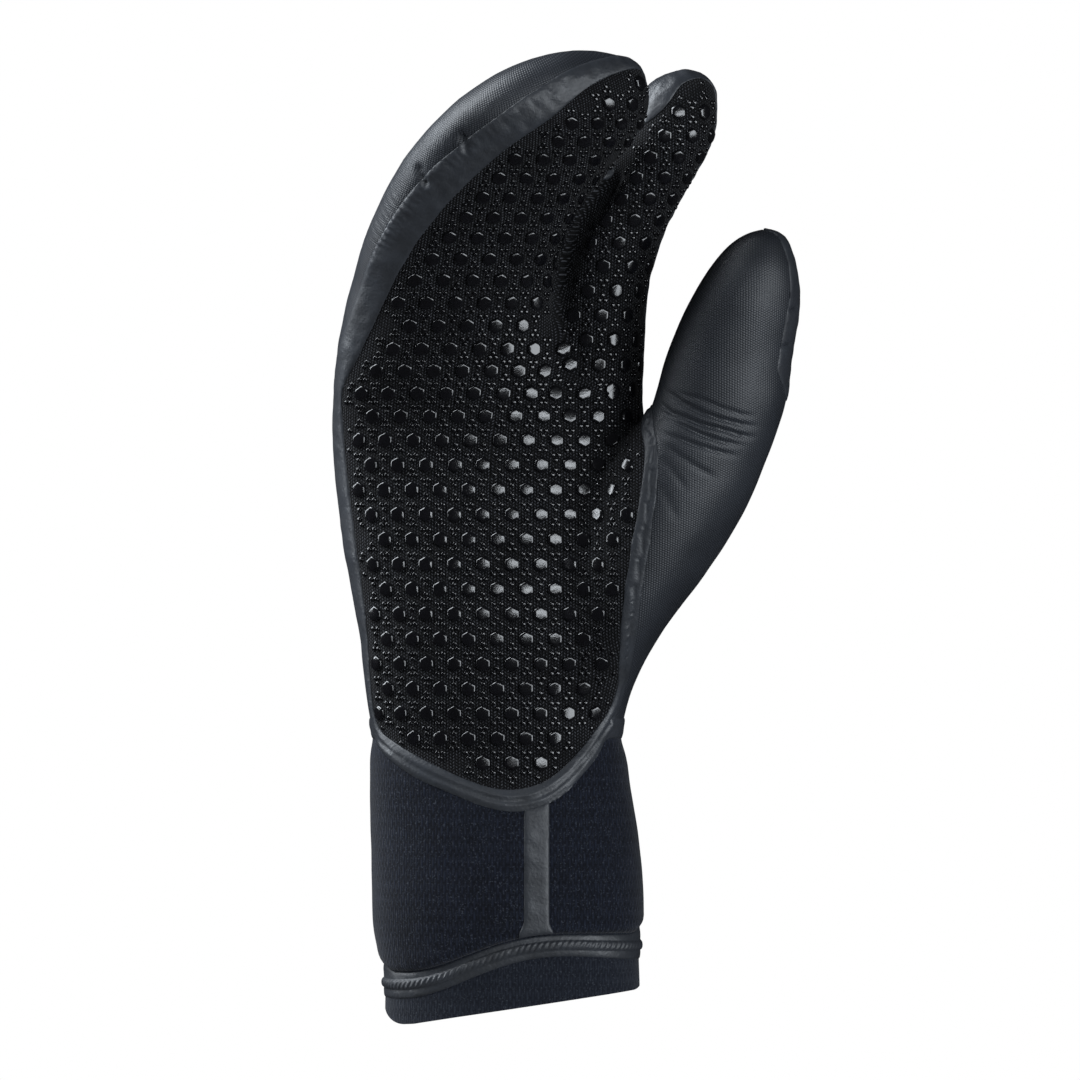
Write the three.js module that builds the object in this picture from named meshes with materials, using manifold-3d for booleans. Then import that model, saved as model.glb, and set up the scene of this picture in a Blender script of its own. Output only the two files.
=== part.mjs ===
// Lobster claw mitt for the right hand: padded rubber-foam walls with a three-finger pouch,
// a finger of its own for the index, a thumb and a gauntlet cuff.
// Millimetres, +Z up towards the finger tips, palm towards -Y, thumb towards +X.
// The origin is the middle of the wrist opening.
import * as THREE from "three";
import { mergeVertices } from "three/addons/utils/BufferGeometryUtils.js";
import Module from "manifold-3d";

const wasm = await Module();
wasm.setup();

// Cuff
const cuffWidth = 82; // across the gauntlet where it is widest
const cuffDepth = 56; // through the gauntlet where it is deepest
const cuffHeight = 82.5; // from the wrist opening to the wrist joint
// Palm and three-finger pouch
const handLength = 204.6; // from the wrist joint to the pouch's tip
const handWidth = 96; // across the palm at the knuckles
const handDepth = 48; // through the palm
const handCurl = 49; // how far the pouch's tip hangs in front of the wrist
const handSquare = 2.4; // squareness of the sections, 2 is an ellipse
// Index finger
const indexLength = 199.8; // from the wrist joint to its tip
const indexWidth = 29;
const indexDepth = 29;
const indexCurl = 17;
const indexSquare = 2.1;
// Thumb
const thumbLength = 151.6; // height of its tip above the wrist joint
const thumbWidth = 41;
const thumbDepth = 42;
const thumbCurl = 28;
const thumbSquare = 2.1;
// Walls, seams and hem
const wall = 5; // foam wall of every panel
const gap = 0.3; // clearance between neighbouring pieces
const tapeProud = 0.9; // how far the rubber seam tape stands off the panels
const tapeWidth = 12; // widest stretch of the tape round the palm
const sideTape = 12; // tape where it runs along the little finger's side
const fingerTape = 8; // tape between the fingers and down the index finger
const wristTape = 6; // tape round the back of the wrist joint
const wristTapeRise = 2; // its middle, above the joint
const seamForward = 0.2; // outer side seams lie this share of the half depth in front of the middle
const seamBehind = 0.1; // seams on the thumb's side of pouch and index finger lie this share behind
const seamLean = 0.6; // and this share of what the section's turn moves that side
const forkUp = 0.42; // where pouch and index finger part inside the palm, share of handLength
const heelShift = 4.8; // foot of the thumb's seam runs this far towards the palm at the joint
const strapWidth = 8; // tape down the front of the gauntlet
const strapPlace = 7.5; // its middle, towards the thumb
const strapFlare = 13; // its width at the gauntlet's edge
const strapFlareHeight = 9;
const strapOverrun = 2; // past the gauntlet's edge before it is cut flush
const thumbTapeFront = 0.6; // front edge of the thumb's tape, share of the half depth
const thumbTapeBack = 0.2; // its back edge, behind the middle
const thumbTapeEnd = 0.66; // its lower end, share of thumbLength
const thumbTapeInner = 0.1; // its inner edge from the thumb's middle, share of the half width
const thumbTapePoint = 0.75; // the same where the tape starts, so that it starts in a point
const hemSlant = 10.6; // rise of the hem across cuffWidth, towards the thumb
const hemInset = 2; // hem band's step in from the gauntlet's face
const hemWall = 3.5; // foam of the hem band
const bandHeight = 13; // bare stretch of the hem band above the wrist opening
const hemTape = 8; // height of the tape above it
const ridgeHeight = 3; // raised ridge along the middle of that tape
const ridgeProud = 1.5; // how far the ridge stands off the band
const gauntletArch = 3.2; // how far the gauntlet's edge rises in the middle
const bandArch = 3.8; // the same for the tape's lower edge
const openingArch = -1.2; // and for the wrist opening

const reach = 400; // longer than the mitt, for cuts that go right through
const beyond = 100; // how far a cut runs past the end of a finger
const hemSpan = 115; // length of the hem's cuts, wider than the cuff
const hemSteps = 6; // straight stretches of a hem line
const cuffAround = 26; // sides of the lofted sections
const fingerAround = 18;
const bodySteps = 21; // rings along cuff, palm and pouch
const indexSteps = 11;
const thumbSteps = 12;
const thumbTapeSteps = 20;
const weld = 1e-4; // corners closer than this are one

// Sections of the cuff: height, middle and half sizes as shares of cuffHeight, cuffWidth and cuffDepth
const cuffRows = [
  { up: -0.2, x: 0.002, half: 0.492, deep: 0.485 },
  { up: -0.02, x: 0.002, half: 0.492, deep: 0.485 },
  { up: 0.17, x: -0.001, half: 0.489, deep: 0.49 },
  { up: 0.33, x: -0.013, half: 0.5, deep: 0.5 },
  { up: 0.55, x: -0.02, half: 0.496, deep: 0.495 },
  { up: 0.76, x: -0.038, half: 0.481, deep: 0.475 },
  { up: 0.92, x: -0.05, half: 0.469, deep: 0.455 },
];
// Palm and pouch: height as a share of handLength, edges of handWidth, half depth of handDepth,
// curl of handCurl, and the turn of the section in degrees
const handRows = [
  { up: 0, left: -0.435, right: 0.34, deep: 0.52, curl: 0.02, roll: 0 },
  { up: 0.05, left: -0.453, right: 0.36, deep: 0.52, curl: 0.03, roll: 0 },
  { up: 0.14, left: -0.474, right: 0.4, deep: 0.52, curl: 0.045, roll: 0 },
  { up: 0.255, left: -0.513, right: 0.425, deep: 0.495, curl: 0.04, roll: 0 },
  { up: 0.375, left: -0.548, right: 0.437, deep: 0.465, curl: 0.03, roll: 0 },
  { up: 0.45, left: -0.557, right: 0.415, deep: 0.44, curl: 0.045, roll: 2 },
  { up: 0.515, left: -0.552, right: 0.31, deep: 0.425, curl: 0.095, roll: 6 },
  { up: 0.58, left: -0.538, right: 0.19, deep: 0.41, curl: 0.18, roll: 10 },
  { up: 0.655, left: -0.505, right: 0.147, deep: 0.405, curl: 0.31, roll: 15 },
  { up: 0.74, left: -0.45, right: 0.194, deep: 0.41, curl: 0.51, roll: 21 },
  { up: 0.83, left: -0.352, right: 0.31, deep: 0.415, curl: 0.73, roll: 26 },
  { up: 0.9, left: -0.232, right: 0.413, deep: 0.385, curl: 0.9, roll: 28 },
  { up: 0.953, left: -0.088, right: 0.42, deep: 0.29, curl: 0.97, roll: 28 },
  { up: 0.986, left: 0.055, right: 0.372, deep: 0.16, curl: 0.99, roll: 28 },
  { up: 1, left: 0.225, right: 0.225, deep: 0, curl: 1, roll: 28 },
];
// Index finger: height of indexLength, middle of handWidth, half sizes of indexWidth and indexDepth
const indexRows = [
  { up: 0.26, x: 0.26, half: 0.38, deep: 0.48, curl: 0.06, roll: 0 },
  { up: 0.4, x: 0.264, half: 0.48, deep: 0.58, curl: 0.06, roll: 0 },
  { up: 0.5, x: 0.257, half: 0.486, deep: 0.58, curl: 0.08, roll: 0 },
  { up: 0.59, x: 0.258, half: 0.493, deep: 0.54, curl: 0.16, roll: 3 },
  { up: 0.675, x: 0.271, half: 0.519, deep: 0.5, curl: 0.28, roll: 6 },
  { up: 0.758, x: 0.316, half: 0.54, deep: 0.48, curl: 0.45, roll: 9 },
  { up: 0.833, x: 0.402, half: 0.527, deep: 0.48, curl: 0.64, roll: 12 },
  { up: 0.9, x: 0.488, half: 0.466, deep: 0.46, curl: 0.81, roll: 12 },
  { up: 0.95, x: 0.515, half: 0.412, deep: 0.39, curl: 0.9, roll: 12 },
  { up: 0.981, x: 0.527, half: 0.315, deep: 0.27, curl: 0.95, roll: 12 },
  { up: 1, x: 0.534, half: 0, deep: 0, curl: 1, roll: 12 },
];
// Thumb: height of thumbLength, middle of handWidth, half sizes of thumbWidth and thumbDepth
const thumbRows = [
  { up: 0.02, x: 0.286, half: 0.135, deep: 0.31, curl: 0.14, roll: 0 },
  { up: 0.11, x: 0.262, half: 0.293, deep: 0.415, curl: 0.2, roll: 0 },
  { up: 0.21, x: 0.312, half: 0.38, deep: 0.475, curl: 0.29, roll: 0 },
  { up: 0.31, x: 0.378, half: 0.498, deep: 0.5, curl: 0.38, roll: 0 },
  { up: 0.425, x: 0.468, half: 0.56, deep: 0.495, curl: 0.48, roll: 0 },
  { up: 0.545, x: 0.548, half: 0.567, deep: 0.465, curl: 0.58, roll: 0 },
  { up: 0.645, x: 0.636, half: 0.485, deep: 0.445, curl: 0.66, roll: 0 },
  { up: 0.742, x: 0.674, half: 0.447, deep: 0.43, curl: 0.74, roll: 0 },
  { up: 0.842, x: 0.718, half: 0.408, deep: 0.41, curl: 0.85, roll: 0 },
  { up: 0.911, x: 0.747, half: 0.338, deep: 0.35, curl: 0.92, roll: 0 },
  { up: 0.96, x: 0.765, half: 0.242, deep: 0.25, curl: 0.97, roll: 0 },
  { up: 0.987, x: 0.78, half: 0.15, deep: 0.16, curl: 0.99, roll: 0 },
  { up: 1, x: 0.784, half: 0, deep: 0, curl: 1, roll: 0 },
];
// Route of the palm's seam seen from the front: x of handWidth, height of handLength,
// tape as a share of tapeWidth. From the bottom of the U up the little finger's side to the pouch's tip
const littleSide = [
  { x: -0.02, up: -0.097, tape: 0.55 },
  { x: -0.13, up: -0.081, tape: 0.45 },
  { x: -0.26, up: -0.056, tape: 0.5 },
  { x: -0.37, up: -0.024, tape: 0.45 },
  { x: -0.445, up: 0.012, tape: 0.4 },
  { x: -0.52, up: 0.09, tape: 0.5 },
  { x: -0.56, up: 0.2, tape: 0.8 },
  { x: -0.6, up: 0.36, tape: 0.8 },
  { x: -0.605, up: 0.44, tape: 0.8 },
  { x: -0.565, up: 0.5, tape: 0.8 },
  { x: -0.515, up: 0.56, tape: 0.75 },
  { x: -0.447, up: 0.638, tape: 0.8 },
  { x: -0.372, up: 0.711, tape: 0.85 },
  { x: -0.27, up: 0.777, tape: 0.9 },
  { x: -0.16, up: 0.828, tape: 0.9 },
  { x: -0.045, up: 0.872, tape: 0.85 },
  { x: 0.078, up: 0.912, tape: 0.85 },
  { x: 0.22, up: 0.96, tape: 0.6 },
  { x: 0.33, up: 0.98, tape: 0.5 },
];
// Down the pouch's inner side, just outside its outline, to the fork
const forkSide = [
  { x: 0.43, up: 0.985, tape: 0.6 },
  { x: 0.48, up: 0.94, tape: 0.6 },
  { x: 0.45, up: 0.88, tape: 0.6 },
  { x: 0.33, up: 0.8, tape: 0.6 },
  { x: 0.24, up: 0.74, tape: 0.6 },
  { x: 0.185, up: 0.66, tape: 0.6 },
  { x: 0.25, up: 0.55, tape: 0.6 },
  { x: 0.35, up: 0.475, tape: 0.5 },
];
// Between palm and thumb, from the fork of the thumb down to the wrist
const thumbSide = [
  { x: 0.435, up: 0.435, tape: 0.35 },
  { x: 0.431, up: 0.38, tape: 0.38 },
  { x: 0.414, up: 0.32, tape: 0.43 },
  { x: 0.395, up: 0.264, tape: 0.43 },
  { x: 0.376, up: 0.205, tape: 0.43 },
  { x: 0.361, up: 0.14, tape: 0.43 },
  { x: 0.351, up: 0.08, tape: 0.38 },
  { x: 0.325, up: 0.037, tape: 0.38 },
];
// And back along the U
const heelSide = [
  { x: 0.245, up: -0.022, tape: 0.45 },
  { x: 0.168, up: -0.064, tape: 0.5 },
  { x: 0.085, up: -0.09, tape: 0.55 },
];
// Seam round the index finger's front, x of handWidth, height of indexLength
const indexLoop = [
  { x: 0.17, up: 0.43, tape: 0.6 },
  { x: 0.15, up: 0.51, tape: 0.6 },
  { x: 0.16, up: 0.61, tape: 0.6 },
  { x: 0.195, up: 0.7, tape: 0.6 },
  { x: 0.235, up: 0.775, tape: 0.65 },
  { x: 0.3, up: 0.82, tape: 0.7 },
  { x: 0.37, up: 0.866, tape: 0.7 },
  { x: 0.415, up: 0.904, tape: 0.7 },
  { x: 0.463, up: 0.956, tape: 0.7 },
  { x: 0.495, up: 0.984, tape: 0.6 },
  { x: 0.58, up: 0.994, tape: 0.5 },
  { x: 0.66, up: 0.985, tape: 0.6 },
  { x: 0.69, up: 0.93, tape: 0.6 },
  { x: 0.64, up: 0.86, tape: 0.6 },
  { x: 0.55, up: 0.78, tape: 0.6 },
  { x: 0.49, up: 0.7, tape: 0.6 },
  { x: 0.465, up: 0.6, tape: 0.6 },
  { x: 0.46, up: 0.52, tape: 0.6 },
  { x: 0.41, up: 0.46, tape: 0.5 },
  { x: 0.29, up: 0.42, tape: 0.5 },
];
// The line between index finger and thumb above their fork, x of handWidth, height of thumbLength
const forkLine = [
  { x: 0.425, up: 0.66 },
  { x: 0.447, up: 0.762 },
  { x: 0.487, up: 0.857 },
  { x: 0.547, up: 0.952 },
  { x: 0.62, up: 1.02 },
  { x: 0.75, up: 1.1 },
];

// Tables as real sizes
const body = [
  ...cuffRows.map((row) => ({
    z: row.up * cuffHeight,
    x: row.x * cuffWidth,
    y: 0,
    half: row.half * cuffWidth,
    deep: row.deep * cuffDepth,
    roll: 0,
  })),
  ...handRows.map((row) => ({
    z: cuffHeight + row.up * handLength,
    x: (row.left + row.right) / 2 * handWidth,
    y: -row.curl * handCurl,
    half: (row.right - row.left) / 2 * handWidth,
    deep: row.deep * handDepth,
    roll: row.roll,
  })),
];
const index = fingerRows(indexRows, indexLength, indexWidth, indexDepth, indexCurl);
const thumb = fingerRows(thumbRows, thumbLength, thumbWidth, thumbDepth, thumbCurl);

function fingerRows(rows, length, width, depth, curl) {
  return rows.map((row) => ({
    z: cuffHeight + row.up * length,
    x: row.x * handWidth,
    y: -row.curl * curl,
    half: row.half * width,
    deep: row.deep * depth,
    roll: row.roll,
  }));
}

function onHand(rows, length = handLength) {
  return rows.map((row) => ({
    x: row.x * handWidth,
    z: cuffHeight + row.up * length,
    tape: (row.tape ?? 0) * tapeWidth / 2,
  }));
}

// A smooth row between the table's rows; past a closed tip the rows mirror, so that it is round
function smoothRow(rows, place) {
  const last = rows.length - 1;
  const from = Math.min(Math.floor(place), last - 1);
  const t = place - from;
  const before = rows[Math.max(from - 1, 0)];
  const tip = rows[last - 1];
  const mirrored = { ...tip, half: -tip.half, deep: -tip.deep };
  const after = from + 2 > last ? mirrored : rows[from + 2];
  const row = {};
  for (const key of Object.keys(rows[0])) {
    const points = [before[key], rows[from][key], rows[from + 1][key], after[key]];
    row[key] = catmullRom(points, t);
  }
  return row;
}

function catmullRom([a, b, c, d], t) {
  const bend = 2 * a - 5 * b + 4 * c - d + (3 * b - a - 3 * c + d) * t;
  return b + 0.5 * t * (c - a + bend * t);
}

function smoothRows(rows, count) {
  const list = [];
  for (let i = 0; i <= count; i += 1) {
    list.push(smoothRow(rows, i / count * (rows.length - 1)));
  }
  return list;
}

// One ring of a section: a rounded rectangle turned by roll and fitted to its half sizes
function ring(row, around, square) {
  const turn = THREE.MathUtils.degToRad(row.roll);
  const power = 2 / square;
  const points = [];
  for (let k = 0; k < around; k += 1) {
    const angle = k / around * 2 * Math.PI;
    const u = Math.sign(Math.cos(angle)) * Math.abs(Math.cos(angle)) ** power * row.half;
    const v = Math.sign(Math.sin(angle)) * Math.abs(Math.sin(angle)) ** power * row.deep;
    points.push([u * Math.cos(turn) - v * Math.sin(turn), u * Math.sin(turn) + v * Math.cos(turn)]);
  }
  const widest = Math.max(...points.map((point) => Math.abs(point[0])));
  const deepest = Math.max(...points.map((point) => Math.abs(point[1])));
  return points.map(([u, v]) => [
    row.x + u / widest * row.half,
    row.y + v / deepest * row.deep,
    row.z,
  ]);
}

// A closed limb through its rows, with a flat foot and a round tip
function limb(rows, count, around, square) {
  const list = smoothRows(rows, count);
  const tip = list.pop();
  const foot = list[0];
  const position = list.flatMap((row) => ring(row, around, square).flat());
  const footPoint = position.length / 3;
  position.push(foot.x, foot.y, foot.z);
  position.push(tip.x, tip.y, tip.z);
  const triangles = [];
  for (let k = 0; k < around; k += 1) {
    const next = (k + 1) % around;
    for (let i = 0; i + 1 < list.length; i += 1) {
      const low = i * around;
      const high = low + around;
      triangles.push(low + k, low + next, high + next, low + k, high + next, high + k);
    }
    const top = (list.length - 1) * around;
    triangles.push(next, k, footPoint);
    triangles.push(top + k, top + next, footPoint + 1);
  }
  const geometry = new THREE.BufferGeometry();
  geometry.setAttribute("position", new THREE.Float32BufferAttribute(position, 3));
  geometry.setIndex(triangles);
  geometry.computeVertexNormals();
  return geometry;
}

// The same limb grown, or shrunk where grow is negative, along its normals
function grown(geometry, grow) {
  const copy = geometry.clone();
  const place = copy.attributes.position;
  const normal = copy.attributes.normal;
  for (let i = 0; i < place.count; i += 1) {
    place.setXYZ(
      i,
      place.getX(i) + normal.getX(i) * grow,
      place.getY(i) + normal.getY(i) * grow,
      place.getZ(i) + normal.getZ(i) * grow,
    );
  }
  return copy;
}

function solid(geometry) {
  let copy = geometry.clone();
  copy.deleteAttribute("normal");
  copy.deleteAttribute("uv");
  copy = mergeVertices(copy, weld);
  return new wasm.Manifold(new wasm.Mesh({
    numProp: 3,
    vertProperties: new Float32Array(copy.attributes.position.array),
    triVerts: new Uint32Array(copy.index.array),
  }));
}

const limbs = [
  limb(body, bodySteps, cuffAround, handSquare),
  limb(index, indexSteps, fingerAround, indexSquare),
  limb(thumb, thumbSteps, fingerAround, thumbSquare),
];

// The mitt's outer form, grown by a distance
function form(grow) {
  const [hand, ...fingers] = limbs.map((geometry) => solid(grown(geometry, grow)));
  return fingers.reduce((whole, finger) => whole.add(finger), hand);
}

function extruded(points, depth) {
  const shape = new THREE.Shape(points.map(([u, v]) => new THREE.Vector2(u, v)));
  return new THREE.ExtrudeGeometry(shape, { depth, bevelEnabled: false });
}

// A cut with an outline of x and z, right through from front to back
function frontCut(points) {
  const geometry = extruded(points, reach);
  geometry.rotateX(Math.PI / 2);
  geometry.translate(0, reach / 2, 0);
  return solid(geometry);
}

// A cut with an outline of y and z, right through from side to side
function sideCut(points) {
  const geometry = extruded(points, reach);
  const basis = new THREE.Matrix4().makeBasis(
    new THREE.Vector3(0, 1, 0),
    new THREE.Vector3(0, 0, 1),
    new THREE.Vector3(1, 0, 0),
  );
  geometry.applyMatrix4(basis);
  geometry.translate(-reach / 2, 0, 0);
  return solid(geometry);
}

// Everything in front of a limb's middle, moved back by a distance, a share of the half depth
// and, where lean is 1, by what the section's turn moves its thumb side
function inFrontOf(rows, distance, share, lean = 0) {
  const edge = smoothRows(rows, rows.length).map((row) => {
    const turned = row.half * Math.sin(THREE.MathUtils.degToRad(row.roll));
    return [row.y + share * row.deep + lean * turned + distance, row.z];
  });
  const foot = edge[0];
  const tip = edge[edge.length - 1];
  return sideCut([
    [-reach / 2, foot[1] - beyond],
    [foot[0], foot[1] - beyond],
    ...edge,
    [tip[0], tip[1] + beyond],
    [-reach / 2, tip[1] + beyond],
  ]);
}

// A closed route, smoothed and moved outwards by a distance and a share of its own tape
function loopOutline(route, distance, tapeShare, places) {
  const samples = [];
  const count = route.length;
  for (let i = 0; i < count; i += 1) {
    for (const t of places) {
      const four = [-1, 0, 1, 2].map((step) => route[(i + step + count) % count]);
      samples.push({
        x: catmullRom(four.map((point) => point.x), t),
        z: catmullRom(four.map((point) => point.z), t),
        tape: catmullRom(four.map((point) => point.tape), t),
      });
    }
  }
  return samples.map((point, i) => {
    const next = samples[(i + 1) % samples.length];
    const before = samples[(i - 1 + samples.length) % samples.length];
    const across = new THREE.Vector2(-(next.z - before.z), next.x - before.x).normalize();
    const out = distance + tapeShare * point.tape;
    return [point.x + across.x * out, point.z + across.y * out];
  });
}

const palmRoute = [
  ...onHand(littleSide),
  ...onHand(forkSide),
  ...onHand(thumbSide),
  ...onHand(heelSide),
];
const indexRoute = onHand(indexLoop, indexLength);

// The thumb's side of a finger above the fork
function thumbHalf(rows) {
  const list = rows.filter((row) => row.z > cuffHeight + forkUp * handLength);
  const foot = list[0];
  const tip = list[list.length - 1];
  return frontCut([
    [foot.x, foot.z],
    [reach / 2, foot.z],
    [reach / 2, tip.z + beyond],
    [tip.x, tip.z + beyond],
    ...list.map((row) => [row.x, row.z]).slice(1).reverse(),
  ]);
}

// In front of a limb's side seams: forward on the outer side, behind the middle on the thumb's side
function inFrontOfSeams(rows, distance, tapeShare) {
  const outerBack = distance + tapeShare * sideTape / 2;
  const innerBack = distance + tapeShare * fingerTape / 2;
  const outerSide = inFrontOf(rows, outerBack, -seamForward);
  const innerSide = inFrontOf(rows, innerBack, seamBehind, seamLean).intersect(thumbHalf(rows));
  return outerSide.add(innerSide);
}

// The part of the mitt that the palm panel takes, moved out by a distance and a share of the tape
function palmRegion(distance, tapeShare) {
  const hand = frontCut(loopOutline(palmRoute, distance, tapeShare, [0, 0.5]))
    .intersect(inFrontOfSeams(body, distance, tapeShare));
  const finger = frontCut(loopOutline(indexRoute, distance, tapeShare, [0]))
    .intersect(inFrontOfSeams(index, distance, tapeShare))
    .subtract(thumbRegion(0));
  return hand.add(finger);
}

// Everything on the thumb's side of its seam, moved towards the thumb by a distance
function thumbRegion(distance) {
  const line = [...onHand(thumbSide)].reverse();
  const fork = onHand(forkLine, thumbLength);
  const foot = line[0];
  const points = [...line, ...fork].map((point) => [point.x + distance, point.z]);
  const top = points[points.length - 1];
  return frontCut([
    [reach / 2, cuffHeight],
    [foot.x - heelShift + distance, cuffHeight],
    ...points,
    [reach / 2, top[1]],
  ].reverse());
}

// Height of a hem line at x, from its height in the middle and its arch
function hemHeight(x, middle, arch) {
  const side = 2 * x / cuffWidth;
  return middle + hemSlant * x / cuffWidth - arch * side * side;
}

// The space between two heights, each a function of x
function between(lower, upper) {
  const across = [];
  for (let i = 0; i <= hemSteps; i += 1) {
    across.push((i / hemSteps - 0.5) * hemSpan);
  }
  return frontCut([
    ...across.map((x) => [x, lower(x)]),
    ...across.reverse().map((x) => [x, upper(x)]),
  ]);
}

const openingLine = (x) => hemHeight(x, 0, openingArch);
const tapeLine = (x) => hemHeight(x, bandHeight, bandArch);
const gauntletLine = (x) => hemHeight(x, bandHeight + hemTape, gauntletArch);
const wristLine = () => cuffHeight;

const outer = form(0);
const inner = form(-wall);
const walls = outer.subtract(inner);
const tapeLayer = form(gap + tapeProud).subtract(form(gap));

function backShell() {
  const upper = between(wristLine, () => reach);
  return walls.intersect(upper).subtract(palmRegion(gap / 2, 0)).subtract(thumbRegion(-gap / 2));
}

function palmPanel() {
  return walls.intersect(palmRegion(-gap / 2, 0)).subtract(thumbRegion(-gap / 2));
}

function thumbShell() {
  return walls.intersect(thumbRegion(gap / 2));
}

function gauntlet() {
  const region = between((x) => gauntletLine(x), () => cuffHeight - gap);
  return walls.intersect(region).subtract(palmRegion(gap / 2, 0));
}

function palmSeam() {
  const middle = cuffHeight + wristTapeRise;
  const wrist = between(() => middle - wristTape / 2, () => middle + wristTape / 2);
  const region = palmRegion(0, 1).add(wrist);
  return tapeLayer.intersect(region).subtract(palmRegion(0, -1));
}

function gauntletSeam() {
  const low = gauntletLine(strapPlace);
  const flare = strapFlare / 2;
  const straight = strapWidth / 2;
  const strip = frontCut([
    [strapPlace - flare, low - strapOverrun],
    [strapPlace + flare, low - strapOverrun],
    [strapPlace + straight, low + strapFlareHeight],
    [strapPlace + straight, cuffHeight],
    [strapPlace - straight, cuffHeight],
    [strapPlace - straight, low + strapFlareHeight],
  ]);
  return tapeLayer
    .intersect(strip)
    .intersect(inFrontOf(body, 0, 0))
    .intersect(between(gauntletLine, wristLine))
    .subtract(palmRegion(gap, 1));
}

function thumbSeam() {
  const rows = smoothRows(thumb, thumbTapeSteps);
  const low = cuffHeight + thumbTapeEnd * thumbLength;
  const side = rows.filter((row) => row.z > low).map((row) => [row.x + thumbTapeInner * row.half, row.z]);
  const end = rows.find((row) => row.z > low);
  const region = frontCut([
    [end.x + thumbTapePoint * end.half, low],
    [end.x + beyond, low],
    [end.x + beyond, low + thumbLength],
    [side[side.length - 1][0], low + thumbLength],
    ...side.reverse(),
  ]);
  return tapeLayer
    .intersect(region)
    .intersect(inFrontOf(thumb, 0, thumbTapeBack))
    .subtract(inFrontOf(thumb, 0, -thumbTapeFront));
}

function hemSeam() {
  const flat = form(gap + tapeProud - hemInset).subtract(form(gap - hemInset));
  const raised = form(gap + ridgeProud - hemInset).subtract(form(gap - hemInset));
  const middle = (hemTape - ridgeHeight) / 2;
  const ridge = between((x) => tapeLine(x) + middle, (x) => gauntletLine(x) - middle);
  return flat
    .intersect(between(tapeLine, (x) => gauntletLine(x) - gap))
    .add(raised.intersect(ridge));
}

function hemBand() {
  const foam = form(-hemInset).subtract(form(-hemInset - hemWall));
  return foam.intersect(between(openingLine, (x) => gauntletLine(x) - gap));
}

// The largest closed body of a solid, without crumbs of its cuts
function mainBody(piece) {
  const bodies = piece.decompose();
  return bodies.reduce((best, one) => (one.volume() > best.volume() ? one : best));
}

function mesh(name, piece, color, roughness) {
  const data = mainBody(piece).getMesh();
  const geometry = new THREE.BufferGeometry();
  geometry.setAttribute("position", new THREE.BufferAttribute(new Float32Array(data.vertProperties), 3));
  geometry.setIndex(new THREE.BufferAttribute(new Uint32Array(data.triVerts), 1));
  const material = new THREE.MeshStandardMaterial({ color, roughness, metalness: 0 });
  const made = new THREE.Mesh(geometry, material);
  made.name = name;
  return made;
}

const knitColor = 0x15161a;
const skinColor = 0x3a3d42;
const tapeColor = 0x4a4c50;
const clothColor = 0x161a26;
const hemColor = 0x23262f;

const mitt = new THREE.Group();
mitt.add(
  mesh("back_shell", backShell(), skinColor, 0.5),
  mesh("palm_panel", palmPanel(), knitColor, 0.9),
  mesh("thumb_shell", thumbShell(), skinColor, 0.5),
  mesh("palm_seam", palmSeam(), tapeColor, 0.6),
  mesh("thumb_seam", thumbSeam(), tapeColor, 0.6),
  mesh("gauntlet", gauntlet(), clothColor, 0.95),
  mesh("gauntlet_seam", gauntletSeam(), tapeColor, 0.6),
  mesh("hem_seam", hemSeam(), tapeColor, 0.6),
  mesh("hem_band", hemBand(), hemColor, 0.9),
);

export default mitt;
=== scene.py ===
import math

import bmesh
import bpy
import numpy as np
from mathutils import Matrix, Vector
from mathutils.bvhtree import BVHTree
from mathutils.kdtree import KDTree


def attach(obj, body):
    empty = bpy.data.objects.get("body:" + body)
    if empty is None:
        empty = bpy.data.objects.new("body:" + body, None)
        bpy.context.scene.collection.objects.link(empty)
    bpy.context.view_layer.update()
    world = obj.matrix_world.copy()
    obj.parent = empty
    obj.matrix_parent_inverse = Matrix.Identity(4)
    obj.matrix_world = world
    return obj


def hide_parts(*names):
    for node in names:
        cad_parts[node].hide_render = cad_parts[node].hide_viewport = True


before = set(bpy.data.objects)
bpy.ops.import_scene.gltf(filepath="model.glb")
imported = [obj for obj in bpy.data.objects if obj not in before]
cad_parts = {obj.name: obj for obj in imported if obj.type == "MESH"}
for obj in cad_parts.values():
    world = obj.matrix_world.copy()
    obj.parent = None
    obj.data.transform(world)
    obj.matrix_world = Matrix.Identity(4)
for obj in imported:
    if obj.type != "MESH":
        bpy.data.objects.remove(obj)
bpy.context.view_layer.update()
mm = 0.001  # the form is worked out in millimetres, the objects are in metres

# Camera: level with the mitt and straight in front of the palm, a long lens from far off
photoView = {
    "middleX": 8.4,
    "middleZ": 141.0,
    "across": 324.0,  # width of the frame at the palm
    "planeY": -12.0,
    "distance": 5000.0,
    "sensor": 36.0,
}


def makeCamera():
    data = bpy.data.cameras.new("camera")
    reach = photoView["distance"] + photoView["planeY"]
    data.sensor_width = photoView["sensor"]
    data.lens = photoView["sensor"] * reach / photoView["across"]
    data.clip_end = 20
    camera = bpy.data.objects.new("camera", data)
    camera.location = (photoView["middleX"] * mm, -photoView["distance"] * mm, photoView["middleZ"] * mm)
    camera.rotation_euler = (math.radians(90), 0, 0)
    bpy.context.scene.collection.objects.link(camera)
    bpy.context.scene.camera = camera


makeCamera()
print("camera: ready")

# Main sizes of the mitt, the same as the frame's
cuff = {"width": 82, "depth": 56, "height": 82.5}
hand = {"length": 204.6, "width": 96, "depth": 48, "curl": 49, "square": 2.4}
index = {"length": 199.8, "width": 29, "depth": 29, "curl": 17, "square": 2.1}
thumb = {"length": 151.6, "width": 41, "depth": 42, "curl": 28, "square": 2.1}

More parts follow.
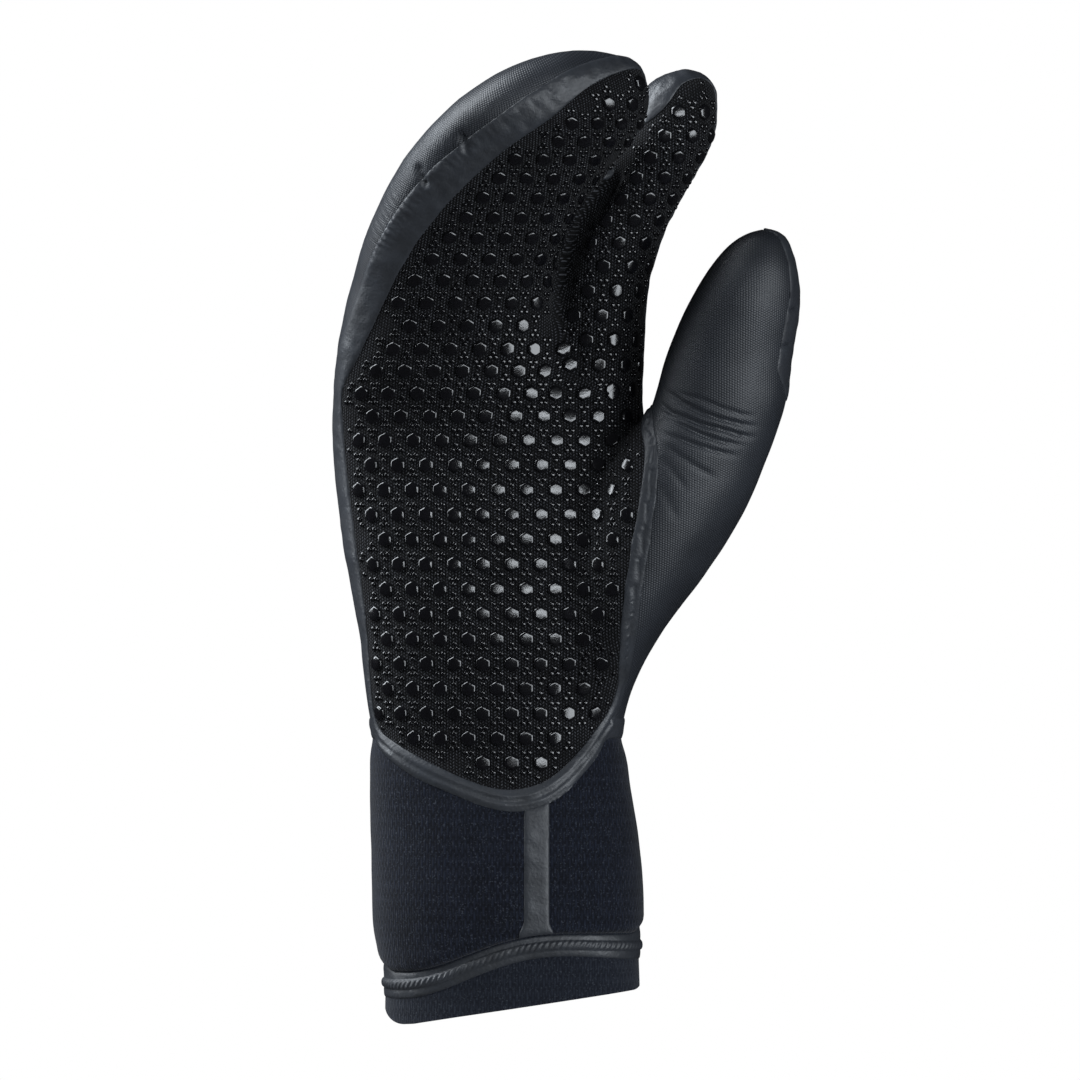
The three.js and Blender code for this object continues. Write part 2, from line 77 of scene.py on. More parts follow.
# Sections of the cuff: height, middle and half sizes as shares of height, width and depth
cuffRows = [
    (-0.2, 0.002, 0.492, 0.485),
    (-0.02, 0.002, 0.492, 0.485),
    (0.17, -0.001, 0.489, 0.49),
    (0.33, -0.013, 0.5, 0.5),
    (0.55, -0.02, 0.496, 0.495),
    (0.76, -0.038, 0.481, 0.475),
    (0.92, -0.05, 0.469, 0.455),
]
# Palm and pouch: height, left and right edge, half depth, curl and turn in degrees
handRows = [
    (0, -0.435, 0.34, 0.52, 0.02, 0),
    (0.05, -0.453, 0.36, 0.52, 0.03, 0),
    (0.14, -0.474, 0.4, 0.52, 0.045, 0),
    (0.255, -0.513, 0.425, 0.495, 0.04, 0),
    (0.375, -0.548, 0.437, 0.465, 0.03, 0),
    (0.45, -0.557, 0.415, 0.44, 0.045, 2),
    (0.515, -0.552, 0.31, 0.425, 0.095, 6),
    (0.58, -0.538, 0.19, 0.41, 0.18, 10),
    (0.655, -0.505, 0.147, 0.405, 0.31, 15),
    (0.74, -0.45, 0.194, 0.41, 0.51, 21),
    (0.83, -0.352, 0.31, 0.415, 0.73, 26),
    (0.9, -0.232, 0.413, 0.385, 0.9, 28),
    (0.953, -0.088, 0.42, 0.29, 0.97, 28),
    (0.986, 0.055, 0.372, 0.16, 0.99, 28),
    (1, 0.225, 0.225, 0, 1, 28),
]
# Index finger, and then the thumb: height, middle, half width, half depth, curl and turn
indexRows = [
    (0.26, 0.26, 0.38, 0.48, 0.06, 0),
    (0.4, 0.264, 0.48, 0.58, 0.06, 0),
    (0.5, 0.257, 0.486, 0.58, 0.08, 0),
    (0.59, 0.258, 0.493, 0.54, 0.16, 3),
    (0.675, 0.271, 0.519, 0.5, 0.28, 6),
    (0.758, 0.316, 0.54, 0.48, 0.45, 9),
    (0.833, 0.402, 0.527, 0.48, 0.64, 12),
    (0.9, 0.488, 0.466, 0.46, 0.81, 12),
    (0.95, 0.515, 0.412, 0.39, 0.9, 12),
    (0.981, 0.527, 0.315, 0.27, 0.95, 12),
    (1, 0.534, 0, 0, 1, 12),
]
thumbRows = [
    (0.02, 0.286, 0.135, 0.31, 0.14, 0),
    (0.11, 0.262, 0.293, 0.415, 0.2, 0),
    (0.21, 0.312, 0.38, 0.475, 0.29, 0),
    (0.31, 0.378, 0.498, 0.5, 0.38, 0),
    (0.425, 0.468, 0.56, 0.495, 0.48, 0),
    (0.545, 0.548, 0.567, 0.465, 0.58, 0),
    (0.645, 0.636, 0.485, 0.445, 0.66, 0),
    (0.742, 0.674, 0.447, 0.43, 0.74, 0),
    (0.842, 0.718, 0.408, 0.41, 0.85, 0),
    (0.911, 0.747, 0.338, 0.35, 0.92, 0),
    (0.96, 0.765, 0.242, 0.25, 0.97, 0),
    (0.987, 0.78, 0.15, 0.16, 0.99, 0),
    (1, 0.784, 0, 0, 1, 0),
]
# Route of the palm's seam from the front: x and height as shares of the hand, and the tape's width
palmRoute = [
    (-0.02, -0.097, 0.55), (-0.13, -0.081, 0.45), (-0.26, -0.056, 0.5), (-0.37, -0.024, 0.45),
    (-0.445, 0.012, 0.4), (-0.52, 0.09, 0.5), (-0.56, 0.2, 0.8), (-0.6, 0.36, 0.8),
    (-0.605, 0.44, 0.8), (-0.565, 0.5, 0.8), (-0.515, 0.56, 0.75), (-0.447, 0.638, 0.8),
    (-0.372, 0.711, 0.85), (-0.27, 0.777, 0.9), (-0.16, 0.828, 0.9), (-0.045, 0.872, 0.85),
    (0.078, 0.912, 0.85), (0.22, 0.96, 0.6), (0.33, 0.98, 0.5),
    # down the pouch's inner side to the fork
    (0.43, 0.985, 0.6), (0.48, 0.94, 0.6), (0.45, 0.88, 0.6), (0.33, 0.8, 0.6),
    (0.24, 0.74, 0.6), (0.185, 0.66, 0.6), (0.25, 0.55, 0.6), (0.35, 0.475, 0.5),
    # between palm and thumb
    (0.435, 0.435, 0.35), (0.431, 0.38, 0.38), (0.414, 0.32, 0.43), (0.395, 0.264, 0.43),
    (0.376, 0.205, 0.43), (0.361, 0.14, 0.43), (0.351, 0.08, 0.38), (0.325, 0.037, 0.38),
    # and back along the U
    (0.245, -0.022, 0.45), (0.168, -0.064, 0.5), (0.085, -0.09, 0.55),
]
thumbPart = slice(27, 35)  # the rows between palm and thumb
indexRoute = [
    (0.17, 0.43, 0.6), (0.13, 0.51, 0.6), (0.1, 0.61, 0.6), (0.1, 0.7, 0.45),
    (0.15, 0.775, 0.45), (0.2, 0.82, 0.45), (0.27, 0.866, 0.45), (0.335, 0.9, 0.45), (0.4, 0.925, 0.5),
    (0.457, 0.95, 0.6), (0.495, 0.984, 0.6), (0.58, 0.994, 0.5), (0.66, 0.985, 0.6),
    (0.69, 0.93, 0.6), (0.64, 0.86, 0.6), (0.55, 0.78, 0.6), (0.49, 0.7, 0.6),
    (0.465, 0.6, 0.6), (0.46, 0.52, 0.6), (0.41, 0.46, 0.5), (0.29, 0.42, 0.5),
]
# Knit across the valley between pouch and index finger, in millimetres of x and height. Here the near-black
# knit also stands in, as painted shade, for the tape that lies in deep shade between the fingers
valleyKnitAndShade = [
    (5, 206), (7, 217.5), (9, 225), (13, 234), (18, 243), (23, 250), (29, 256), (35, 258), (37, 254),
    (34, 247), (30, 241), (27, 236), (24.6, 231), (22.5, 223.5), (21, 213), (20.4, 206),
]
# Upper limit of the thumb's sleeve, outwards from the palm: x as a share of the palm's width, and
# height as a share of the thumb's length
thumbFork = [(0.425, 0.66), (0.447, 0.762), (0.487, 0.857), (0.547, 0.952), (0.62, 1.02), (0.75, 1.1)]

form = {
    "voxel": 1.2,  # spacing of the skin's mesh
    "blend": 7.0,  # how far the skin is rounded beside the roots of thumb and fingers
    "gapBlend": 2.2,  # the same between pouch and index finger
    "gapFrom": (196, 210),  # heights over which the one turns into the other
    "blendRounds": 55,
    "evenRounds": 4,
    "wall": 4.7,
    "hemWall": 3.3,
    "hemInset": 2.0,  # how far the hem band lies inside the skin
    "fill": 0.8,  # of every foam panel
    "splitFrom": 0.004,  # a panel's mesh is finer where it is lowered by more than this
    "indexFrom": 190.0,  # height where the index finger's own weave starts
    "ballFrom": 0.3,  # share of the palm's half width where the ball of the thumb starts
    "ballLow": (95, 113),  # heights over which it sets in and ends
    "ballHigh": (183, 197),
}
# Where the seams run: outer, inner and gap are shares of the depth behind a limb's middle
seam = {
    "outer": -0.3,
    "inner": 0.1,
    "innerLean": 0.6,  # share of the half width that the turn of a section moves the inner side
    # On the index finger's side to the gap the seam moves back, so that the near-black knit covers the tape
    # there as painted shade
    "gap": 0.5,  # on the index finger's side to the gap
    "gapTop": (258, 270),  # heights over which that side ends
    "fork": 0.42,  # height, as a share of the hand, where the inner side sets in
    "apart": (203, 211),  # heights over which pouch and index finger part
    "indexLow": 175,  # below this the tape has its width from the palm's route alone
    # The knit of the valley patch is partly painted shade over tape that lies in deep shade
    "patchDepth": -12.0,  # the knit between pouch and index finger lies in front of this
    "heelShift": 4.8,  # how far inwards the thumb's sleeve goes on down to the wrist
    "tapeHalf": 6.0,  # half width of the tape where its route says 1
    "step": 0.5,  # between the points of the finished seam lines
    "rounds": 60,  # of smoothing them
    "shortest": 60,  # loops of fewer points are specks
}


# Point on a smooth curve from b to c, where a and d are the points beside them and t runs from 0 to 1
def curveBetween(a, b, c, d, t):
    bend = 2 * a - 5 * b + 4 * c - d + (3 * b - a - 3 * c + d) * t
    return b + 0.5 * t * (c - a + bend * t)


def smoothRows(rows, count):
    table = np.array(rows, float)
    tip = table[-2].copy()
    tip[3:5] *= -1  # past the tip the sections mirror, so that it is round
    padded = np.vstack([table[0], table, tip])
    place = np.linspace(0, len(table) - 1, count + 1)
    first = np.minimum(place.astype(int), len(table) - 2)
    t = (place - first)[:, None]
    return curveBetween(*(padded[first + k] for k in range(4)), t)


def bodyRows():
    rows = [(up * cuff["height"], x * cuff["width"], 0, half * cuff["width"], deep * cuff["depth"], 0)
            for up, x, half, deep in cuffRows]
    for up, left, right, deep, curl, roll in handRows:
        rows.append((
            cuff["height"] + up * hand["length"],
            (left + right) / 2 * hand["width"],
            -curl * hand["curl"],
            (right - left) / 2 * hand["width"],
            deep * hand["depth"],
            roll,
        ))
    return rows


def fingerRows(rows, size):
    return [(cuff["height"] + up * size["length"], x * hand["width"], -curl * size["curl"],
             half * size["width"], deep * size["depth"], roll) for up, x, half, deep, curl, roll in rows]


def ringAt(row, square, angles):
    z, x, y, half, deep, roll = row
    turn = math.radians(roll)
    c, s = np.cos(angles), np.sin(angles)
    u = np.sign(c) * np.abs(c) ** (2 / square) * half
    v = np.sign(s) * np.abs(s) ** (2 / square) * deep
    p = u * math.cos(turn) - v * math.sin(turn)
    q = u * math.sin(turn) + v * math.cos(turn)
    wide, thick = np.abs(p).max(), np.abs(q).max()
    ring = np.stack([x + p / wide * half, y + q / thick * deep, np.full(len(angles), z)], axis=1)
    return ring, wide, thick


def makeLimb(rows, square, count, around=96):
    table = smoothRows(rows, count)
    tip = table[-1]
    table = table[:-1]
    full = np.linspace(-1.5, 0.5, around + 1) * math.pi  # from the back round the front and back again
    rings, wides, thicks, arcs = [], [], [], []
    for row in table:
        ring, wide, thick = ringAt(row, square, full)
        step = np.linalg.norm(np.diff(ring, axis=0), axis=1)
        run = np.concatenate([[0], np.cumsum(step)])
        rings.append(ring[:-1])
        wides.append(wide)
        thicks.append(thick)
        arcs.append(run - run[around // 2])
    line = np.linalg.norm(np.diff(table[:, :3], axis=0), axis=1)
    return {
        "rows": table, "tip": tip, "square": square, "around": around, "rings": np.array(rings),
        "wide": np.array(wides), "thick": np.array(thicks), "arcs": np.array(arcs),
        "along": table[0, 0] + np.concatenate([[0], np.cumsum(line)]),
    }


limbs = {
    "hand": makeLimb(bodyRows(), hand["square"], 150),
    "index": makeLimb(fingerRows(indexRows, index), index["square"], 90),
    "thumb": makeLimb(fingerRows(thumbRows, thumb), thumb["square"], 90),
}


# Which points lie on the index finger and not on the hand; below the knuckles none do
def isIndex(points, outHand, outIndex):
    low = np.maximum(form["indexFrom"] - points[:, 2], 0)
    return np.abs(outIndex) + low < np.abs(outHand)


def columnAt(limb, z, values):
    return np.interp(z, limb["rows"][:, 0], values)


# Where points are on a limb: how far outside it, arc length round it from its front, length along it
def onLimb(limb, points):
    rows = limb["rows"]
    z = points[:, 2]
    cx, cy, half, deep, roll = (columnAt(limb, z, rows[:, k]) for k in range(1, 6))
    wide, thick = columnAt(limb, z, limb["wide"]), columnAt(limb, z, limb["thick"])
    turn = np.radians(roll)
    p = (points[:, 0] - cx) * wide / half
    q = (points[:, 1] - cy) * thick / deep
    u = (p * np.cos(turn) + q * np.sin(turn)) / half
    v = (-p * np.sin(turn) + q * np.cos(turn)) / deep
    square = limb["square"]
    share = (np.abs(u) ** square + np.abs(v) ** square) ** (1 / square)
    angle = np.arctan2(np.sign(v) * np.abs(v) ** (square / 2), np.sign(u) * np.abs(u) ** (square / 2))
    place = (angle / (2 * math.pi) + 0.75) % 1 * limb["around"]
    row = np.interp(z, rows[:, 0], np.arange(len(rows)))
    r0 = np.minimum(row.astype(int), len(rows) - 2)
    a0 = np.minimum(place.astype(int), limb["around"] - 1)
    fr, fa = row - r0, place - a0
    arcs = limb["arcs"]
    low = arcs[r0, a0] * (1 - fa) + arcs[r0, a0 + 1] * fa
    high = arcs[r0 + 1, a0] * (1 - fa) + arcs[r0 + 1, a0 + 1] * fa
    girth = arcs[r0, -1] - arcs[r0, 0]
    out = (share - 1) * np.minimum(half, deep)
    above = np.maximum(z - limb["tip"][0], 0) + np.maximum(rows[0, 0] - z, 0)
    spot = {
        "out": out + above,
        "u": cx + low * (1 - fr) + high * fr,
        "v": np.interp(z, rows[:, 0], limb["along"]),
        "girth": girth,
        "x": cx, "y": cy, "half": half, "deep": deep, "turn": turn,
    }
    if limb is limbs["hand"]:
        spot["u"] = overBall(limb, points, spot, -v)
    return spot


# The ball of the thumb stands in front of the hand's own section, and there arc lengths run straight on
def overBall(limb, points, spot, front):
    edge = form["ballFrom"]
    angle = -math.atan2(math.sqrt(1 - edge ** limb["square"]), edge ** (limb["square"] / 2))
    placeOfEdge = (angle / (2 * math.pi) + 0.75) * limb["around"]
    arcs = np.array([np.interp(placeOfEdge, np.arange(limb["around"] + 1), arc) for arc in limb["arcs"]])
    x, _, z = points.T
    across = (x - spot["x"]) / spot["half"]
    straight = columnAt(limb, z, arcs) + (across - edge) * spot["half"] + spot["x"]
    share = smoothStep(across, edge, edge + 0.25) * smoothStep(front, 0, 0.3)
    share = share * smoothStep(z, *form["ballLow"]) * (1 - smoothStep(z, *form["ballHigh"]))
    return spot["u"] * (1 - share) + straight * share


def limbFaces(limb, start):
    count, around = limb["rings"].shape[:2]
    faces = []
    for i in range(count - 1):
        for k in range(around):
            a = start + i * around + k
            b = start + i * around + (k + 1) % around
            faces.append((a, b, b + around, a + around))
    foot = start + count * around
    top = start + (count - 1) * around
    for k in range(around):
        faces.append((start + (k + 1) % around, start + k, foot))
        faces.append((top + k, top + (k + 1) % around, foot + 1))
    return faces


# One skin over the three limbs, as points and triangles
def makeSkin():
    points, faces = [], []
    for limb in limbs.values():
        start = sum(len(p) for p in points)
        faces += limbFaces(limb, start)
        rows = limb["rows"]
        ends = np.array([rows[0, [1, 2, 0]], limb["tip"][[1, 2, 0]]])
        points += [limb["rings"].reshape(-1, 3), ends]
    mesh = bpy.data.meshes.new("skin")
    mesh.from_pydata(np.vstack(points).tolist(), [], faces)
    obj = bpy.data.objects.new("skin", mesh)
    bpy.context.scene.collection.objects.link(obj)
    remesh = obj.modifiers.new("even", "REMESH")
    remesh.mode = "VOXEL"
    remesh.voxel_size = form["voxel"]
    made = obj.evaluated_get(bpy.context.evaluated_depsgraph_get()).to_mesh()
    made.calc_loop_triangles()
    skin = np.empty(len(made.vertices) * 3)
    made.vertices.foreach_get("co", skin)
    triangles = np.empty(len(made.loop_triangles) * 3, int)
    made.loop_triangles.foreach_get("vertices", triangles)
    bpy.data.objects.remove(obj)
    bpy.data.meshes.remove(mesh)
    return skin.reshape(-1, 3), triangles.reshape(-1, 3)


def edgesOf(triangles):
    return np.vstack([triangles[:, [0, 1]], triangles[:, [1, 2]], triangles[:, [2, 0]]])


def neighbours(triangles):
    return np.unique(np.sort(edgesOf(triangles), axis=1), axis=0)


def relax(values, pairs, rounds, weight):
    values = values.copy()
    count = len(values)
    near = np.bincount(pairs.ravel(), minlength=count)[:, None]
    for _ in range(rounds):
        total = np.stack([
            np.bincount(pairs[:, 0], values[pairs[:, 1], k], count)
            + np.bincount(pairs[:, 1], values[pairs[:, 0], k], count)
            for k in range(values.shape[1])
        ], axis=1)
        values += weight * (total / near - values)
    return values


# The direction at each point from the directions of the triangles that meet there
def directions(triangles, perTriangle, count):
    corners = triangles.ravel()
    total = np.stack([np.bincount(corners, np.repeat(perTriangle[:, k], 3), count) for k in range(3)], axis=1)
    return total / np.maximum(np.linalg.norm(total, axis=1, keepdims=True), 1e-9)


def normalsOf(points, triangles):
    a, b, c = (points[triangles[:, k]] for k in range(3))
    return directions(triangles, np.cross(b - a, c - a), len(points))


def smoothStep(value, low, high):
    t = np.clip((value - low) / (high - low), 0, 1)
    return t * t * (3 - 2 * t)


def roundMin(a, b, size):
    h = np.clip(0.5 + 0.5 * (b - a) / size, 0, 1)
    return b * (1 - h) + a * h - size * h * (1 - h)


# A closed route of x, height and width, sampled on a smooth curve
def routeCurve(route, length, steps=6):
    table = np.array(route, float) * [hand["width"], length, seam["tapeHalf"]] + [0, cuff["height"], 0]
    curve = []
    for i in range(len(table)):
        near = [table[(i + k) % len(table)] for k in (-1, 0, 1, 2)]
        curve += [curveBetween(*near, t) for t in np.arange(steps) / steps]
    return np.array(curve)


# Signed distance from an outline in the front view, positive inside it
def insideOf(outline, x, z):
    nearest = np.full(len(x), 1e9)
    inside = np.zeros(len(x), bool)
    for (ax, az), (bx, bz) in zip(outline[:, :2], np.roll(outline[:, :2], -1, axis=0)):
        dx, dz = bx - ax, bz - az
        t = np.clip(((x - ax) * dx + (z - az) * dz) / (dx * dx + dz * dz + 1e-9), 0, 1)
        nearest = np.minimum(nearest, (x - ax - t * dx) ** 2 + (z - az - t * dz) ** 2)
        if az != bz:
            inside ^= ((az > z) != (bz > z)) & (x < (bx - ax) * (z - az) / (bz - az) + ax)
    return np.where(inside, 1, -1) * np.sqrt(nearest)


palmCurve = routeCurve(palmRoute, hand["length"])
indexCurve = routeCurve(indexRoute, index["length"])


def thumbOutline():
    side = np.array(palmRoute[thumbPart])[::-1, :2] * [hand["width"], hand["length"]] + [0, cuff["height"]]
    fork = np.array(thumbFork) * [hand["width"], thumb["length"]] + [0, cuff["height"]]
    line = np.vstack([side, fork])
    far = 200
    return np.vstack([[far, cuff["height"]], [line[0, 0] - seam["heelShift"], cuff["height"]],
                      line, [far, line[-1, 1]]])


def frontOf(spot, y, share, lean):
    return spot["y"] + share * spot["deep"] + lean * spot["half"] * np.sin(spot["turn"]) - y


# Fields over the skin: positive inside the palm panel and inside the thumb's sleeve
def seamFields(points, spots):
    x, y, z = points.T
    spotHand, spotIndex = spots["hand"], spots["index"]
    thumbField = insideOf(thumbOutline(), x, z)
    fork = cuff["height"] + seam["fork"] * hand["length"]

    def seams(spot, gapSide):
        # Moving the outer seam back on the gap side puts near-black knit, as painted shade, where the tape lies
        # in deep shade
        shadeKnitShare = gapSide * smoothStep(spot["x"] - x, -4, 2) * (1 - smoothStep(z, *seam["gapTop"]))
        outer = frontOf(spot, y, seam["outer"] + shadeKnitShare * (seam["gap"] - seam["outer"]), 0)
        inner = frontOf(spot, y, seam["inner"], seam["innerLean"])
        side = smoothStep(x - spot["x"], -4, 4) * smoothStep(z, fork - 5, fork + 5)
        return outer * (1 - side) + inner * side

    palm = roundMin(insideOf(palmCurve, x, z), seams(spotHand, 0), 2)
    finger = roundMin(insideOf(indexCurve, x, z), seams(spotIndex, 1), 2)
    apart = smoothStep(z, *seam["apart"])
    onIndex = spotIndex["out"] < spotHand["out"]
    both = np.maximum(palm, finger)
    own = np.where(onIndex, finger, palm)
    field = both * (1 - apart) + own * apart
    # The valley patch of knit is partly painted shade over tape that lies in deep shade
    patch = np.minimum(insideOf(np.array(valleyKnitAndShade), x, z), seam["patchDepth"] - y)
    field = -roundMin(-field, -patch, 2)
    return np.minimum(field, -thumbField), thumbField


# The closed lines where a field over the skin is zero
def zeroLines(points, triangles, values):
    inside = values > 0
    part = triangles[np.ptp(inside[triangles].astype(int), axis=1) == 1]
    links = {}
    for tri in part.tolist():
        edges = [tuple(sorted((tri[k], tri[(k + 1) % 3]))) for k in range(3)]
        ends = [e for e in edges if inside[e[0]] != inside[e[1]]]
        for e, other in (ends, ends[::-1]):
            links.setdefault(e, []).append(other)
    lines = []
    while links:
        start = next(iter(links))
        line = [start]
        step = links.pop(start)[0]
        while step in links:
            line.append(step)
            step = next((o for o in links.pop(step) if o in links), None)
        a, b = np.array(line).T
        t = (values[a] / (values[a] - values[b]))[:, None]
        lines.append(points[a] * (1 - t) + points[b] * t)
    return lines


def evenLoop(line, step, rounds):
    closed = np.vstack([line, line[:1]])
    for _ in range(2):
        run = np.concatenate([[0], np.cumsum(np.linalg.norm(np.diff(closed, axis=0), axis=1))])
        at = np.linspace(0, run[-1], max(int(run[-1] / step), 8), endpoint=False)
        loop = np.stack([np.interp(at, run, closed[:, k]) for k in range(3)], axis=1)
        for _ in range(rounds):
            loop = loop / 2 + (np.roll(loop, 1, axis=0) + np.roll(loop, -1, axis=0)) / 4
        closed = np.vstack([loop, loop[:1]])
    return loop


def treeOf(places, numbers):
    tree = KDTree(len(places))
    for co, number in zip(places.tolist(), numbers):
        tree.insert(co, number)
    tree.balance()
    return tree


# Distance of points from the nearest of several dense lines, and which of their points it is
def nearestOn(lines, points):
    dense = np.vstack(lines)
    tree = treeOf(dense, range(len(dense)))
    found = [tree.find(co)[1:] for co in points.tolist()]
    which = np.array([f[0] for f in found])
    return np.array([f[1] for f in found]), which


# Distance from a line of x and height, and the share of the way along it
def alongLine(line, x, z):
    nearest = np.full(len(x), 1e9)
    share = np.zeros(len(x))
    for i, ((ax, az), (bx, bz)) in enumerate(zip(line[:-1], line[1:])):
        dx, dz = bx - ax, bz - az
        t = np.clip(((x - ax) * dx + (z - az) * dz) / (dx * dx + dz * dz), 0, 1)
        away = (x - ax - t * dx) ** 2 + (z - az - t * dz) ** 2
        share = np.where(away < nearest, (i + t) / (len(line) - 1), share)
        nearest = np.minimum(nearest, away)
    return np.sqrt(nearest), share


# Smooth irregular swelling, mostly between -1 and 1, from sines in seeded directions
def wobble(points, size, seed):
    chance = np.random.default_rng(seed)
    total = np.zeros(len(points))
    for _ in range(14):
        way = chance.normal(size=3)
        way *= 2 * math.pi / (size * chance.uniform(0.7, 1.5) * np.linalg.norm(way))
        total += np.sin(points @ way + chance.uniform(0, 7))
    return total / 5


skinPoints, skinTriangles = makeSkin()
skinPairs = neighbours(skinTriangles)
skinPoints = relax(skinPoints, skinPairs, form["evenRounds"], 0.5)


# How strongly the skin is rounded at each point: where it is near two limbs, above the cuff
def rootWeights():
    outs = np.abs(np.stack([onLimb(limb, skinPoints)["out"] for limb in limbs.values()], axis=1))
    blend = form["blend"] + (form["gapBlend"] - form["blend"]) * smoothStep(skinPoints[:, 2], *form["gapFrom"])
    return np.exp(-(np.sort(outs, axis=1)[:, 1] / blend) ** 2)[:, None] * (skinPoints[:, 2:] > cuff["height"])


skinPoints = relax(skinPoints, skinPairs, form["blendRounds"], 0.6 * rootWeights())
print("skin:", len(skinPoints), "points")

skinNormals = relax(normalsOf(skinPoints, skinTriangles), skinPairs, 6, 0.5)
skinNormals /= np.linalg.norm(skinNormals, axis=1, keepdims=True)
skinSpots = {name: onLimb(limb, skinPoints) for name, limb in limbs.items()}
palmField, thumbField = seamFields(skinPoints, skinSpots)
palmLoops = [evenLoop(line, seam["step"], seam["rounds"])
             for line in zeroLines(skinPoints, skinTriangles, palmField) if len(line) > seam["shortest"]]
print("palm seam:", [len(loop) for loop in palmLoops], "half millimetres")
seamDistance, seamPlace = nearestOn(palmLoops, skinPoints)
seamLine = np.vstack(palmLoops)
seamSigned = np.where(palmField > 0, 1, -1) * seamDistance


# Half width of the tape at each point of the seam, from the route that it follows
def tapeWidths():
    widths = np.zeros(len(seamLine))
    onHand = onLimb(limbs["hand"], seamLine)
    onIndex = onLimb(limbs["index"], seamLine)
    useIndex = (onIndex["out"] < onHand["out"]) & (seamLine[:, 2] > seam["indexLow"])
    for curve, chosen in ((palmCurve, ~useIndex), (indexCurve, useIndex)):
        spot = seamLine[chosen][:, [0, 2]]
        gaps = np.linalg.norm(spot[:, None] - curve[None, :, :2], axis=2)
        widths[chosen] = curve[gaps.argmin(axis=1), 2]
    reach = 12  # points of the seam each way that a width is averaged over
    share = np.ones(2 * reach + 1) / (2 * reach + 1)
    return np.convolve(np.pad(widths, reach, mode="wrap"), share, mode="valid")


seamWidth = tapeWidths()[seamPlace]

# Creases: depth, width and a line from the front, in millimetres of x and height
thumbCreases = [
    (0.4, 0.9, [(48, 185.4), (56.4, 183), (62.4, 180.4), (68.4, 178.5), (73.5, 177.8)]),
    (0.75, 0.9, [(44.4, 187), (50.4, 182.3), (56.4, 179.1), (62.4, 177), (68.4, 175.5), (75, 174.6)]),
    (0.85, 0.9, [(42, 183.5), (47.4, 179.1), (56.4, 175.5), (62.4, 174), (68.4, 172.2), (74, 171.4)]),
    (0.7, 0.85, [(46, 177.8), (53.4, 174), (56.4, 172.5), (62.4, 170.4), (71, 168.9)]),
    (0.55, 0.9, [(43.5, 173.6), (50.4, 171), (56.4, 168.8), (62.4, 167.1), (69, 165.8)]),
    (0.35, 1.1, [(45, 169.8), (50.4, 165.8), (56.4, 162), (62, 159)]),
    (0.25, 1.2, [(44, 166), (48, 161.4), (53, 155)]),
    (0.2, 1.5, [(44, 158), (50, 146)]),
]
thumbNotches = [(0.8, 0.7, [(79, 198.4), (83.5, 200)]), (0.7, 0.7, [(81.5, 209.4), (85.5, 210.6)])]
valleyLine = [
    (34, 255), (31.5, 251), (29.1, 247.5), (25.8, 243), (22.2, 237.6), (19.8, 232.5), (18, 228),
    (16.2, 222.6), (15.3, 217.5), (14.1, 212.1), (12.6, 204),
]
tapeSlits = [
    (1.2, 1.0, [(-15.3, 262.4), (-14.1, 259.2), (-12.6, 256)]),
    (1.3, 1.0, [(-28.5, 253), (-27, 249.5), (-24.9, 245.4)]),
]
skinCreases = [(4.2, 2.7, valleyLine)] + tapeSlits
puckers = {
    "depth": 0.3,  # of the ribs beside the tape
    "pitch": 2.4,
    "beside": 1.5,  # how far outside the tape's edge they are highest
    "reach": 3,
    # x, height, reach and strength of the places that pucker
    "spots": [(-36, 238, 11, 1.0), (-15, 258, 11, 0.8), (12, 272, 10, 0.3)],
}
swell = {
    "seamPull": 0.25,  # panels pull in at their seams
    "seamReach": 4.5,
    "sides": 0.45,  # the palm's sides stand out a little
    "sidesFrom": (75, 90),
    "sidesTo": (200, 225),
    "thumbGroove": 0.5,  # along the thumb's sleeve
    "thumbReach": 1.5,
    "waves": [(0.28, 34, 3), (0.1, 13, 4)],  # height, size and seed of wide and of small swellings
}


def puckerMask(x, z):
    return sum(share * np.exp(-((x - px) ** 2 + (z - pz) ** 2) / size ** 2)
               for px, pz, size, share in puckers["spots"])


# Grooves that run out at their ends, on the front only
def creaseLift(creases, x, z, facing):
    lift = np.zeros(len(x))
    for depth, width, line in creases:
        away, share = alongLine(line, x, z)
        ends = smoothStep(share, -0.05, 0.2) * (1 - smoothStep(share, 0.72, 1.02))
        lift -= depth * ends * np.exp(-(away / width) ** 2)
    return lift * smoothStep(facing, -0.1, 0.3)


def foldedSkin():
    x, y, z = skinPoints.T
    lift = np.zeros(len(x))
    beside = np.abs(seamDistance - seamWidth - puckers["beside"]) / puckers["reach"]
    rib = np.sin(2 * math.pi * seamPlace * seam["step"] / puckers["pitch"])
    lift += puckers["depth"] * (np.exp(-beside ** 2) * (palmField < 0)) * rib * puckerMask(x, z)
    lift -= swell["seamPull"] * np.exp(-(seamDistance / swell["seamReach"]) ** 2)
    sideways = smoothStep(np.abs(skinNormals[:, 0]), 0.5, 0.9)
    lift += (swell["sides"] * sideways * smoothStep(z, *swell["sidesFrom"])
             * (1 - smoothStep(z, *swell["sidesTo"])))
    groove = swell["thumbGroove"] * np.exp(-(thumbField / swell["thumbReach"]) ** 2)
    lift -= groove * (palmField < 0) * (z > cuff["height"] + 4)
    lift += creaseLift(skinCreases, x, z, -skinNormals[:, 1])
    lift += sum(high * wobble(skinPoints, size, seed) for high, size, seed in swell["waves"])
    return skinPoints + skinNormals * lift[:, None]


# Every value of the skin's points in one table, so that a cut carries them all
columns = ["x", "y", "z", "nx", "ny", "nz", "palm", "thumb", "seam", "half", "place", "outHand", "outIndex"]
skinTable = np.column_stack([
    foldedSkin(), skinNormals, palmField, thumbField, seamSigned, seamWidth, seamPlace,
    skinSpots["hand"]["out"], skinSpots["index"]["out"],
])
print("skin: folded, with", len(columns), "values a point")


def col(data, name):
    return data[:, columns.index(name)]


